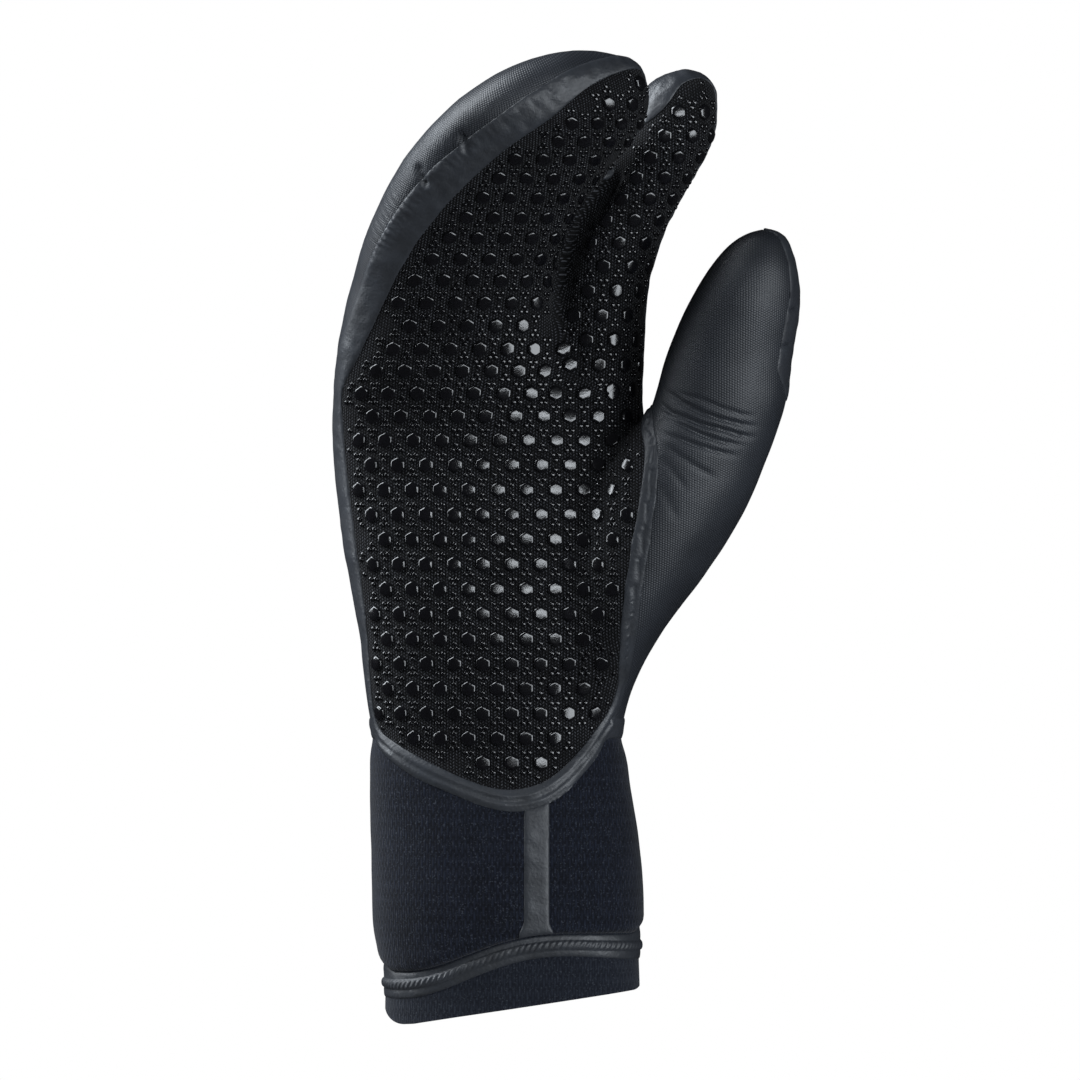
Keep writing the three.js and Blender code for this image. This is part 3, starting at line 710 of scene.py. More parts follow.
# Keeps the part of a surface where the values are positive, cut exactly along zero
def cutAway(data, triangles, values):
    inside = values > 0
    count = inside[triangles].sum(axis=1)
    part = triangles[(count == 1) | (count == 2)]
    flags = inside[part]
    odd = np.where(flags.sum(axis=1) == 1, flags.argmax(axis=1), (~flags).argmax(axis=1))
    part = np.take_along_axis(part, (odd[:, None] + np.arange(3)) % 3, axis=1)
    a, b, c = part.T
    edges = np.sort(np.vstack([part[:, [0, 1]], part[:, [0, 2]]]), axis=1)
    edges, which = np.unique(edges, axis=0, return_inverse=True)
    which = which.ravel()
    low, high = edges.T
    t = (values[low] / (values[low] - values[high]))[:, None]
    made = data[low] * (1 - t) + data[high] * t
    ab = len(data) + which[:len(part)]
    ac = len(data) + which[len(part):]
    lone = inside[a]
    pieces = [
        triangles[count == 3],
        np.stack([a, ab, ac], axis=1)[lone],
        np.stack([ab, b, c], axis=1)[~lone],
        np.stack([ab, c, ac], axis=1)[~lone],
    ]
    return packed(np.vstack([data, made]), np.vstack(pieces))


def packed(data, triangles):
    used, fresh = np.unique(triangles, return_inverse=True)
    return data[used], fresh.reshape(-1, 3)


# Halves every edge of the wanted triangles, and splits their neighbours to match
def finer(data, triangles, wanted=None):
    edges = np.sort(np.stack([triangles, np.roll(triangles, -1, axis=1)], axis=2), axis=2).reshape(-1, 2)
    edges, which = np.unique(edges, axis=0, return_inverse=True)
    which = which.reshape(-1, 3)
    halved = np.zeros(len(edges), bool)
    halved[which if wanted is None else which[wanted]] = True
    fresh = np.where(halved, len(data) + np.cumsum(halved) - 1, -1)
    made = (data[edges[halved, 0]] + data[edges[halved, 1]]) / 2
    mid = fresh[which]
    count = (mid >= 0).sum(axis=1)
    afterWhole = np.where(count == 2, (mid < 0).argmax(axis=1) + 1, 0)
    first = np.where(count == 1, (mid >= 0).argmax(axis=1), afterWhole)
    turned = (first[:, None] + np.arange(3)) % 3
    corners = np.take_along_axis(triangles, turned, axis=1)
    mid = np.take_along_axis(mid, turned, axis=1)
    pieces = [triangles[count == 0]]
    # corners a, b, c and the middles m, n, o of the edges ab, bc, ca, for one to three halved edges
    splits = {1: ("amc", "mbc"), 2: ("mbn", "amn", "anc"), 3: ("amo", "mbn", "onc", "mno")}
    for number, shapes in splits.items():
        part = dict(zip("abcmno", np.hstack([corners, mid])[count == number].T))
        pieces += [np.stack([part[corner] for corner in shape], axis=1) for shape in shapes]
    return np.vstack([data, made]), np.vstack(pieces)


# A closed wall: the surface, its inner face and the rim between them
def walled(outer, inner, triangles):
    count = len(outer)
    directed = edgesOf(triangles)
    keys = directed[:, 0] * count + directed[:, 1]
    back = directed[:, 1] * count + directed[:, 0]
    a, b = directed[~np.isin(keys, back)].T
    rim = np.vstack([np.stack([b, a, a + count], axis=1), np.stack([b, a + count, b + count], axis=1)])
    return np.vstack([outer, inner]), np.vstack([triangles, triangles[:, ::-1] + count, rim])


# Flat coordinates in metres for a weave: round the limb that a face belongs to, and along it
def flatten(points, faces, limbNames):
    spot = [onLimb(limbs[name], points) for name in limbNames]
    outs = np.stack([np.abs(s["out"]) for s in spot], axis=1)
    if "index" in limbNames:
        outs[:, limbNames.index("index")] += np.maximum(form["indexFrom"] - points[:, 2], 0)
    best = outs[faces].sum(axis=1).argmin(axis=1)
    corner = faces.ravel()
    limbOf = np.repeat(best, 3)
    u = np.stack([s["u"] for s in spot], axis=1)[corner, limbOf]
    v = np.stack([s["v"] for s in spot], axis=1)[corner, limbOf]
    girth = np.stack([s["girth"] for s in spot], axis=1)[corner, limbOf]
    wraps = np.ptp(u.reshape(-1, 3), axis=1) > 0.5 * girth.reshape(-1, 3)[:, 0]
    u = u + np.repeat(wraps, 3) * (u < u.reshape(-1, 3).mean(axis=1).repeat(3)) * girth
    return np.stack([u, v], axis=1) * mm


def makePiece(name, points, faces, material, nodes=(), limbNames=("hand",), sharp=50):
    mesh = bpy.data.meshes.new(name)
    mesh.vertices.add(len(points))
    mesh.vertices.foreach_set("co", (points * mm).ravel())
    mesh.loops.add(faces.size)
    mesh.loops.foreach_set("vertex_index", faces.ravel().astype(np.int32))
    mesh.polygons.add(len(faces))
    mesh.polygons.foreach_set("loop_start", np.arange(0, faces.size, 3, dtype=np.int32))
    mesh.polygons.foreach_set("use_smooth", np.ones(len(faces), bool))
    mesh.update(calc_edges=True)
    layer = mesh.uv_layers.new(name="flat")
    layer.data.foreach_set("uv", flatten(points, faces, limbNames).ravel())
    mesh.set_sharp_from_angle(angle=math.radians(sharp))
    mesh.materials.append(material)
    obj = bpy.data.objects.new(name, mesh)
    bpy.context.scene.collection.objects.link(obj)
    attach(obj, "root")
    if nodes:
        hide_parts(*nodes)
    print("piece:", name, len(faces), "triangles")


# Shader node groups that several materials share
def newGroup(name, inputs, outputs):
    group = bpy.data.node_groups.new(name, "ShaderNodeTree")
    for label, kind, value in inputs:
        made = group.interface.new_socket(label, in_out="INPUT", socket_type=kind)
        if value is not None:
            made.default_value = value
    for label, kind in outputs:
        group.interface.new_socket(label, in_out="OUTPUT", socket_type=kind)
    return group, group.nodes.new("NodeGroupInput"), group.nodes.new("NodeGroupOutput")


def mathNode(tree, operation, a, b=None, c=None):
    node = tree.nodes.new("ShaderNodeMath")
    node.operation = operation
    for i, value in enumerate((a, b, c)):
        if value is None:
            continue
        if isinstance(value, (int, float)):
            node.inputs[i].default_value = value
        else:
            tree.links.new(value, node.inputs[i])
    return node.outputs[0]


# Rows of small cells: stitches of a knit or bumps of an embossed mesh
def stitchGroup():
    group, given, made = newGroup("stitchRows", [
        ("Vector", "NodeSocketVector", None),
        ("Wale", "NodeSocketFloat", 0.001),
        ("Course", "NodeSocketFloat", 0.001),
        ("Stagger", "NodeSocketFloat", 0.5),
        ("Slant", "NodeSocketFloat", 0.0),
        ("Fullness", "NodeSocketFloat", 1.0),
    ], [("Height", "NodeSocketFloat"), ("Chance", "NodeSocketFloat")])

    def calc(*values):
        return mathNode(group, *values)

    split = group.nodes.new("ShaderNodeSeparateXYZ")
    group.links.new(given.outputs["Vector"], split.inputs[0])
    u = calc("DIVIDE", split.outputs[0], given.outputs["Wale"])
    v = calc("DIVIDE", split.outputs[1], given.outputs["Course"])
    column = calc("FLOOR", u)
    odd = calc("FLOORED_MODULO", column, 2.0)
    across = calc("SUBTRACT", calc("FRACT", u), 0.5)
    lean = calc("SUBTRACT", calc("MULTIPLY", odd, 2.0), 1.0)
    shift = calc("MULTIPLY", calc("MULTIPLY", across, lean), given.outputs["Slant"])
    rowPlace = calc("ADD", calc("MULTIPLY_ADD", odd, given.outputs["Stagger"], v), shift)
    row = calc("FLOOR", rowPlace)
    up = calc("SUBTRACT", calc("FRACT", rowPlace), 0.5)
    hump = calc("MULTIPLY", *(calc("COSINE", calc("MULTIPLY", way, math.pi)) for way in (across, up)))
    height = calc("POWER", calc("MAXIMUM", hump, 0.0), given.outputs["Fullness"])
    cell = group.nodes.new("ShaderNodeCombineXYZ")
    group.links.new(column, cell.inputs[0])
    group.links.new(row, cell.inputs[1])
    noise = group.nodes.new("ShaderNodeTexWhiteNoise")
    group.links.new(cell.outputs[0], noise.inputs["Vector"])
    group.links.new(height, made.inputs["Height"])
    group.links.new(noise.outputs["Value"], made.inputs["Chance"])
    return group


# Soft patches and fine grain, for colour and roughness that change over the surface
def mottleGroup():
    group, given, made = newGroup("mottle", [
        ("Vector", "NodeSocketVector", None),
        ("Patch Size", "NodeSocketFloat", 0.02),
        ("Grain Size", "NodeSocketFloat", 0.001),
        ("Grain Share", "NodeSocketFloat", 0.3),
    ], [("Value", "NodeSocketFloat"), ("Grain", "NodeSocketFloat")])
    values = []
    for label in ("Patch Size", "Grain Size"):
        noise = group.nodes.new("ShaderNodeTexNoise")
        noise.inputs["Detail"].default_value = 4
        group.links.new(given.outputs["Vector"], noise.inputs["Vector"])
        group.links.new(mathNode(group, "DIVIDE", 1.0, given.outputs[label]), noise.inputs["Scale"])
        values.append(noise.outputs["Fac"])
    share = given.outputs["Grain Share"]
    keep = mathNode(group, "MULTIPLY", values[0], mathNode(group, "SUBTRACT", 1.0, share))
    group.links.new(mathNode(group, "MULTIPLY_ADD", values[1], share, keep), made.inputs["Value"])
    group.links.new(values[1], made.inputs["Grain"])
    return group


stitchRows = stitchGroup()
mottle = mottleGroup()


def placeGroup(tree, group, **values):
    node = tree.nodes.new("ShaderNodeGroup")
    node.node_tree = group
    for label, value in values.items():
        socket = node.inputs[label.replace("_", " ")]
        if isinstance(value, (int, float)):
            socket.default_value = value
        else:
            tree.links.new(value, socket)
    return node


def ramp(tree, source, stops):
    node = tree.nodes.new("ShaderNodeValToRGB")
    tree.links.new(source, node.inputs["Fac"])
    elements = node.color_ramp.elements
    while len(elements) < len(stops):
        elements.new(0.5)
    for element, (at, color) in zip(elements, stops):
        element.position = at
        element.color = (*color, 1) if len(color) == 3 else color
    return node.outputs["Color"]


def spread(tree, source, low, high, fromLow=0.0, fromHigh=1.0):
    node = tree.nodes.new("ShaderNodeMapRange")
    for label, value in (("From Min", fromLow), ("From Max", fromHigh), ("To Min", low), ("To Max", high)):
        node.inputs[label].default_value = value
    tree.links.new(source, node.inputs["Value"])
    return node.outputs["Result"]


def newMaterial(name, **values):
    material = bpy.data.materials.new(name)
    material.use_nodes = True
    tree = material.node_tree
    shader = tree.nodes["Principled BSDF"]
    for label, value in values.items():
        shader.inputs[label.replace("_", " ")].default_value = value
    return material, tree, shader


def flatAndSolid(tree):
    flat = tree.nodes.new("ShaderNodeUVMap")
    flat.uv_map = "flat"
    return flat.outputs["UV"], tree.nodes.new("ShaderNodeTexCoord").outputs["Object"]


# Colour, roughness and relief, each from values that change over the surface
def dress(tree, shader, color, roughness, height, relief):
    node = tree.nodes.new("ShaderNodeBump")
    node.inputs["Distance"].default_value, node.inputs["Strength"].default_value = relief
    tree.links.new(height, node.inputs["Height"])
    for source, label in ((color, "Base Color"), (roughness, "Roughness"), (node.outputs["Normal"], "Normal")):
        tree.links.new(source, shader.inputs[label])


# From 1 - share to 1, by chance for each stitch
def unevenness(tree, cells, share):
    return mathNode(tree, "ADD", mathNode(tree, "MULTIPLY", cells.outputs["Chance"], share), 1 - share)


# In each look sizes are in metres and each colour has its place along a value. Roughness goes from the
# first number to the second while that value goes from the third to the fourth, or from 0 to 1. Relief
# is a depth and a strength, and sheen a weight and a roughness.
skinLook = {
    "mesh": {"Wale": 0.0008, "Course": 0.0008, "Stagger": 0.5, "Slant": 0.0, "Fullness": 1.4},
    "patches": {"Patch_Size": 0.02, "Grain_Size": 0.0012, "Grain_Share": 0.12},
    "meshShare": 0.45,  # of the colour; the rest is patches
    "colors": [(0.25, (0.011, 0.013, 0.018)), (0.5, (0.029, 0.033, 0.041)), (0.75, (0.052, 0.058, 0.07))],
    "roughness": (0.5, 0.42, 0.3, 0.7),
    "relief": (0.00009, 0.9),
    "gloss": 0.7,
}


# Rubber skin with a fine embossed mesh
def skinRubber(look):
    material, tree, shader = newMaterial("skinRubber", Specular_IOR_Level=look["gloss"])
    flat, solid = flatAndSolid(tree)
    cells = placeGroup(tree, stitchRows, Vector=flat, **look["mesh"])
    patch = placeGroup(tree, mottle, Vector=solid, **look["patches"]).outputs["Value"]
    mixed = mathNode(tree, "MULTIPLY_ADD", cells.outputs["Height"], look["meshShare"],
                     mathNode(tree, "MULTIPLY", patch, 1 - look["meshShare"]))
    dress(tree, shader, ramp(tree, mixed, look["colors"]), spread(tree, patch, *look["roughness"]),
          cells.outputs["Height"], look["relief"])
    return material


knitLook = {
    "stitches": {"Wale": 0.0009, "Course": 0.00095, "Stagger": 0.5, "Slant": 0.7, "Fullness": 1.5},
    "patches": {"Patch_Size": 0.01, "Grain_Size": 0.0006, "Grain_Share": 0.3},
    "uneven": 0.4,  # how much the stitches differ from each other
    "patchLift": 0.35,
    "colors": [(0.1, (0.0015, 0.0015, 0.002)), (0.35, (0.008, 0.008, 0.01)), (0.7, (0.075, 0.078, 0.088))],
    "roughness": (0.7, 0.95),
    "relief": (0.0004, 0.8),
    "gloss": 0.25,
    "sheen": (0.05, 0.4),
}


# Near-black knit of the palm
def palmKnit(look):
    material, tree, shader = newMaterial("palmKnit", Specular_IOR_Level=look["gloss"],
                                         Sheen_Weight=look["sheen"][0], Sheen_Roughness=look["sheen"][1])
    flat, solid = flatAndSolid(tree)
    cells = placeGroup(tree, stitchRows, Vector=flat, **look["stitches"])
    patch = placeGroup(tree, mottle, Vector=solid, **look["patches"])
    tone = mathNode(tree, "MULTIPLY", cells.outputs["Height"], unevenness(tree, cells, look["uneven"]))
    tone = mathNode(tree, "MULTIPLY", tone, mathNode(tree, "ADD", patch.outputs["Value"], look["patchLift"]))
    dress(tree, shader, ramp(tree, tone, look["colors"]),
          spread(tree, cells.outputs["Chance"], *look["roughness"]), cells.outputs["Height"], look["relief"])
    return material


tapeLook = {
    "patches": {"Patch_Size": 0.007, "Grain_Size": 0.0009, "Grain_Share": 0.3},
    "colors": [(0.3, (0.021, 0.0235, 0.029)), (0.7, (0.046, 0.051, 0.061))],
    "roughness": (0.58, 0.36, 0.3, 0.7),
    "relief": (0.0008, 0.6),
    "reliefFrom": "Value",
    "shader": {"Specular_IOR_Level": 0.7},
}
padLook = {
    "patches": {"Patch_Size": 0.004, "Grain_Size": 0.0004, "Grain_Share": 0.5},
    "colors": [(0.3, (0.003, 0.003, 0.004)), (0.7, (0.008, 0.008, 0.01))],
    "roughness": (0.2, 0.11, 0.3, 0.7),
    "relief": (0.00005, 0.6),
    "reliefFrom": "Grain",
    "shader": {"IOR": 1.8},
}


# Smooth rubber: the cured tapes and the glossy moulded pads
def smoothRubber(name, look):
    material, tree, shader = newMaterial(name, **look["shader"])
    solid = tree.nodes.new("ShaderNodeTexCoord").outputs["Object"]
    patch = placeGroup(tree, mottle, Vector=solid, **look["patches"])
    value = patch.outputs["Value"]
    dress(tree, shader, ramp(tree, value, look["colors"]), spread(tree, value, *look["roughness"]),
          patch.outputs[look["reliefFrom"]], look["relief"])
    return material


clothLook = {
    "stitches": {"Wale": 0.0009, "Course": 0.004, "Stagger": 0.37, "Slant": 0.0, "Fullness": 0.8},
    "patches": {"Patch_Size": 0.012, "Grain_Size": 0.0005, "Grain_Share": 0.45},
    "uneven": 0.5,
    "stitchShare": 0.55,  # of the tone; the rest is patches
    "toneFrom": 0.15,
    "toneTo": 0.8,
    "flecks": (0.58, 0.7),  # the part of the grain that turns into pale flecks
    "roughness": (0.95, 0.75),
    "relief": (0.00035, 0.7),
    "gloss": 0.2,
    "sheen": (0.12, 0.5),
    # dark, pale and fleck colour
    "gauntlet": ((0.001, 0.0015, 0.004), (0.013, 0.0175, 0.033), (0.045, 0.052, 0.07)),
    "hem": ((0.005, 0.0065, 0.012), (0.021, 0.026, 0.039), (0.045, 0.052, 0.065)),
}


# Brushed jersey of the cuff
def cuffCloth(name, look, colors):
    dark, pale, fleckColor = colors
    material, tree, shader = newMaterial(name, Specular_IOR_Level=look["gloss"],
                                         Sheen_Weight=look["sheen"][0], Sheen_Roughness=look["sheen"][1])
    flat, solid = flatAndSolid(tree)
    cells = placeGroup(tree, stitchRows, Vector=flat, **look["stitches"])
    patch = placeGroup(tree, mottle, Vector=solid, **look["patches"])
    tone = mathNode(tree, "MULTIPLY", cells.outputs["Height"], unevenness(tree, cells, look["uneven"]))
    tone = mathNode(tree, "ADD", mathNode(tree, "MULTIPLY", tone, look["stitchShare"]),
                    mathNode(tree, "MULTIPLY", patch.outputs["Value"], 1 - look["stitchShare"]))
    mixed = tree.nodes.new("ShaderNodeMix")
    mixed.data_type = "RGBA"
    tree.links.new(spread(tree, patch.outputs["Grain"], 0.0, 1.0, *look["flecks"]), mixed.inputs["Factor"])
    tree.links.new(ramp(tree, tone, [(look["toneFrom"], dark), (look["toneTo"], pale)]), mixed.inputs["A"])
    mixed.inputs["B"].default_value = (*fleckColor, 1)
    dress(tree, shader, mixed.outputs["Result"], spread(tree, patch.outputs["Grain"], *look["roughness"]),
          tone, look["relief"])
    return material


skinMaterial = skinRubber(skinLook)
knitMaterial = palmKnit(knitLook)
tapeMaterial = smoothRubber("seamRubber", tapeLook)
padMaterial = smoothRubber("padRubber", padLook)
gauntletMaterial = cuffCloth("gauntletCloth", clothLook, clothLook["gauntlet"])
hemMaterial = cuffCloth("hemCloth", clothLook, clothLook["hem"])
print("materials: ready")

# Hem and cuff lines
hem = {
    # points of x and height on the tape's lower edge and on the gauntlet's edge
    "tapeLine": [(-42, 4.9), (-34, 3.7), (-29, 3.7), (-24.3, 5.1), (-17.7, 7.8), (-10.8, 10.2), (-4.2, 12.6),
                 (2.4, 14.8), (9, 16.1), (17, 16.2), (38, 15.3), (42, 15.2)],
    "gauntletLine": [(-42, 12.6), (-34, 11.8), (-29, 12), (-24.3, 12.9), (-17.7, 15.3), (-10.8, 17.7),
                     (-4.2, 20.2), (2.4, 21.6), (11.7, 22.9), (24, 23.3), (38, 23.1), (42, 23.1)],
    "ridge": 2.8,  # how high the cord-like ridge is, and how far it stands out
    "ridgeProud": 0.65,
    "ribPitch": 1.9,
    "ribDeep": 0.13,
    "opening": 0.6,  # height of the opening's edge at x = 0, and its slope
    "openingTilt": 0.149,
    "edgeRound": 3.0,
    "rollIn": 1.6,  # how far the gauntlet's lower edge rolls in
    "overlap": 1.0,  # how far the hem band goes up past the gauntlet's edge
    "slit": 0.4,  # between the hem's tape and the gauntlet's edge
    "slant": 0.6,  # of the ribs
    "bandCorners": (-31.5, 6.8, 36.5, 2.5),  # left and right rounded corners: where they start, and radius
    "gauntletCorners": (-36.0, 5.0, 36.6, 3.2),
}


def smoothLine(points, x):
    degree, ends = 6, (-42, 42)
    return np.polyval(np.polyfit(*np.array(points, float).T, degree), np.clip(x, *ends))


def cornerRise(x, corners):
    left, leftRound, right, rightRound = corners
    rise = 0
    for past, radius in ((left - x, leftRound), (x - right, rightRound)):
        rise = rise + radius * (1 - np.sqrt(1 - np.clip(past / radius, 0, 1) ** 2))
    return rise


def openingLine(x):
    return hem["opening"] + hem["openingTilt"] * x + cornerRise(x, hem["bandCorners"])


def tapeLine(x):
    return smoothLine(hem["tapeLine"], x)


def gauntletLine(x):
    return smoothLine(hem["gauntletLine"], x) + cornerRise(x, hem["gauntletCorners"])


# A foam panel: the part of the skin where every cut is positive, lowered by drop, with a wall behind it
def panel(name, cuts, material, limbNames, wall, drop=None, fine=0):
    data, triangles = skinTable, skinTriangles
    for cut in cuts:
        data, triangles = cutAway(data, triangles, cut(data))
    for _ in range(fine):
        lowered = np.abs(drop(data)) > form["splitFrom"]
        data, triangles = finer(data, triangles, lowered[triangles].any(axis=1))
    outer = data[:, :3].copy()
    if drop is not None:
        outer -= data[:, 3:6] * drop(data)[:, None]
    inner = data[:, :3] - data[:, 3:6] * wall
    points, faces = walled(outer, inner, triangles)
    makePiece(name, points, faces, material, (name,), limbNames)
    return data, triangles


def aboveWrist(data):
    return col(data, "z") - cuff["height"]


def aboveGauntletEdge(data):
    return col(data, "z") - gauntletLine(col(data, "x"))


# The gauntlet's lower edge rolls in
def gauntletDrop(data):
    near = np.clip(aboveGauntletEdge(data) / hem["edgeRound"], 0, 1)
    return hem["rollIn"] * (1 - np.sqrt(1 - (1 - near) ** 2))


def thumbDrop(data):
    return -creaseLift(thumbCreases, col(data, "x"), col(data, "z"), -col(data, "ny"))


# x on the hem band's face, which is set in from the skin
def bandX(data):
    return col(data, "x") - form["hemInset"] * col(data, "nx")


panel("back_shell", [aboveWrist, lambda d: -col(d, "palm"), lambda d: -col(d, "thumb")],
      skinMaterial, ("hand", "index"), form["wall"])
palmData, palmTriangles = panel("palm_panel", [lambda d: col(d, "palm")],
                                knitMaterial, ("hand", "index"), form["wall"])
panel("thumb_shell", [lambda d: col(d, "thumb")], skinMaterial, ("thumb",), form["wall"],
      thumbDrop, fine=2)
panel("gauntlet", [lambda d: -aboveWrist(d), lambda d: -col(d, "palm"), aboveGauntletEdge],
      gauntletMaterial, ("hand",), form["wall"], gauntletDrop)
panel("hem_band", [lambda d: col(d, "z") - openingLine(bandX(d)),
                   lambda d: gauntletLine(col(d, "x")) + hem["overlap"] - col(d, "z")],
      hemMaterial, ("hand",), form["hemInset"] + form["hemWall"],
      lambda d: np.full(len(d), form["hemInset"]))

tape = {
    "proud": 0.5,
    "edge": 2.0,  # how far in from its edge the tape reaches its full height
    "rim": 0.15,  # share of that height at its very edge
    "sunk": 0.4,  # how far its underside lies in the panels
    "wrist": 3.0,  # half width round the wrist's joint
    "wristUp": 2.0,
    "wrinkle": 0.07,
    "wrinkles": [(5, 8), (12, 9)],  # size and seed
    "wander": 0.16,  # how far its edge strays from a smooth line
    "wanderSize": 9,
    "pucker": 0.22,
    "lumps": 0.2,  # over the knuckles
    "lumpSize": 4.5,
    "lumpsFrom": (222, 240),
    "slits": 0.35,  # their depth here, as a share of their depth in the skin
    "ridge": 0.45,  # of two low ridges along the bottom of the U
    "ridges": (1.3, -1.5),
    "ridgeHalf": 0.8,
}
thumbStrip = {"from": 0.66, "behind": 0.2, "half": 0.4, "least": 0.6}  # shares of the thumb's length and depth
farOut = -9  # for places that are no part of a tape


# A tape: the part of the skin where inset is positive, raised with a rounded edge
def makeTape(name, inset, extra=None, fine=1, base=0, wander=0):
    data, triangles = skinTable, skinTriangles
    wanted = (inset(data) > -3)[triangles].any(axis=1)  # the tape and a little beside it
    data, triangles = packed(data, triangles[wanted])
    for _ in range(fine):
        data, triangles = finer(data, triangles)
    strayed = inset(data) + wander * wobble(data[:, :3], tape["wanderSize"], 6)
    data, triangles = cutAway(data, triangles, strayed)
    depth = np.clip(inset(data) / tape["edge"], 0, 1)
    height = tape["proud"] * (tape["rim"] + (1 - tape["rim"]) * np.sqrt(1 - (1 - depth) ** 2))
    height += tape["wrinkle"] * depth * sum(wobble(data[:, :3], size, seed) for size, seed in tape["wrinkles"])
    if extra is not None:
        height += depth * extra(data)
    outer = data[:, :3] + data[:, 3:6] * (height + base)[:, None]
    inner = data[:, :3] - data[:, 3:6] * (tape["sunk"] - base)
    points, faces = walled(outer, inner, triangles)
    makePiece(name, points, faces, tapeMaterial, (name,), ("hand", "index", "thumb"), sharp=70)


def palmTape(data):
    along = col(data, "half") - np.abs(col(data, "seam"))
    joint = cuff["height"] + tape["wristUp"]
    wrist = tape["wrist"] - np.abs(col(data, "z") - joint)
    wrist = np.where(col(data, "palm") < 0, wrist, farOut)
    return -roundMin(-along, -wrist, 2)


# Two low ridges along the bottom of the U, and puckers and slits over the knuckles
def palmRidges(data):
    x, z = col(data, "x"), col(data, "z")
    low = smoothStep(-z, -104, -88) * smoothStep(-col(data, "y"), 5, 12)
    across = col(data, "seam")
    ridges = tape["ridge"] * low * sum(
        np.exp(-((across - at) / tape["ridgeHalf"]) ** 2) for at in tape["ridges"])
    along = 2 * math.pi * col(data, "place") * seam["step"] / puckers["pitch"]
    rib = np.sin(along + 1.5 * wobble(data[:, :3], 8, 11))
    pulled = tape["pucker"] * rib * smoothStep(-across, -0.5, 2) * puckerMask(x, z)
    lumps = tape["lumps"] * wobble(data[:, :3], tape["lumpSize"], 15) * smoothStep(z, *tape["lumpsFrom"])
    return ridges + pulled + lumps + tape["slits"] * creaseLift(tapeSlits, x, z, -col(data, "ny"))


def thumbTape(data):
    spot = onLimb(limbs["thumb"], data[:, :3])
    z = col(data, "z")
    low = cuff["height"] + thumbStrip["from"] * thumb["length"]
    middle = spot["y"] - thumbStrip["behind"] * spot["deep"]
    half = thumbStrip["half"] * spot["deep"] * smoothStep(z, low - 2, low + 10) + thumbStrip["least"]
    side = smoothStep(col(data, "x") - spot["x"], -2, 2)
    near = half - np.abs(col(data, "y") - middle)
    near = np.minimum(near, z - low)
    near = np.minimum(near, 12 * (side - 0.5))
    return np.where(col(data, "thumb") > 1, near, farOut)


def thumbLift(data):
    return creaseLift(thumbNotches, col(data, "x"), col(data, "z"), 1)


strap = {
    "width": 7.6,
    "middle": 7.4,
    "flare": 10.5,  # width at its foot
    "flareHeight": 4.5,
    "foot": 0.2,  # above the gauntlet's edge
    "under": 0.6,  # how far its top goes below the palm's tape
    "top": 2.0,
}


def strapTape(data):
    x, z = col(data, "x"), col(data, "z")
    low = gauntletLine(strap["middle"])
    flare = (1 - smoothStep(z, low, low + strap["flareHeight"])) * (strap["flare"] - strap["width"]) / 2
    near = strap["width"] / 2 + flare - np.abs(x - strap["middle"])
    near = np.minimum(near, z - gauntletLine(x) - strap["foot"])
    near = np.minimum(near, -(col(data, "half") + col(data, "seam")) + strap["under"])
    near = np.minimum(near, cuff["height"] + strap["top"] - z)
    return np.where((col(data, "y") < -3) & (col(data, "palm") < 0), near, farOut)


makeTape("palm_seam", palmTape, palmRidges, wander=tape["wander"])
makeTape("thumb_seam", thumbTape, thumbLift, wander=tape["wander"])
makeTape("gauntlet_seam", strapTape)


def hemTape(data):
    z = col(data, "z")
    return np.minimum(z - tapeLine(bandX(data)), gauntletLine(col(data, "x")) - hem["slit"] - z)


# The cord-like ridge with its slanting ribs
def hemRidge(data):
    x, z = bandX(data), col(data, "z")
    across = z - (tapeLine(x) + gauntletLine(x)) / 2
    around = onLimb(limbs["hand"], data[:, :3])["u"]
    hump = np.sqrt(np.clip(1 - (across / (hem["ridge"] / 2)) ** 2, 0, 1))
    rib = np.sin(2 * math.pi * (around - hem["slant"] * across) / hem["ribPitch"])
    return hump * (hem["ridgeProud"] + hem["ribDeep"] * rib)


makeTape("hem_seam", hemTape, hemRidge, fine=2, base=-form["hemInset"])

# Grip pads: hexagons in a honeycomb, with small clusters of three dots between them
grip = {
    "pitch": 8.6,
    "radius": 2.6,
    "high": 0.9,
    "dotRadius": 0.72,
    "dotHigh": 0.55,
    "dotSpread": 1.05,  # of the three dots of a cluster from its middle
    "margin": 3.0,  # how far inside the tape's edge the middles of hexagons stay, and of dots
    "dotMargin": 1.4,
    "valley": 0.6,  # how much further they stay from the crease between pouch and index finger
    "corner": (0.82, 0.8),  # a hexagon's half width between flat sides as a share, and its sharpness
    "sides": 24,
    "dotSides": 9,
    "dish": 0.97,  # height of the top's middle as a share of its rim
    "stray": 1.0,  # how far from a point of the knit a pad's middle may be
    # share of the radius and of the height, from the sunk foot to the rounded top
    "rings": [(1.0, -0.28), (1.0, 0.3), (0.96, 0.58), (0.88, 0.82), (0.77, 0.95), (0.62, 1.0)],
    "dotRings": [(1.0, -0.45), (1.0, 0.35), (0.88, 0.8), (0.62, 1.0)],
}


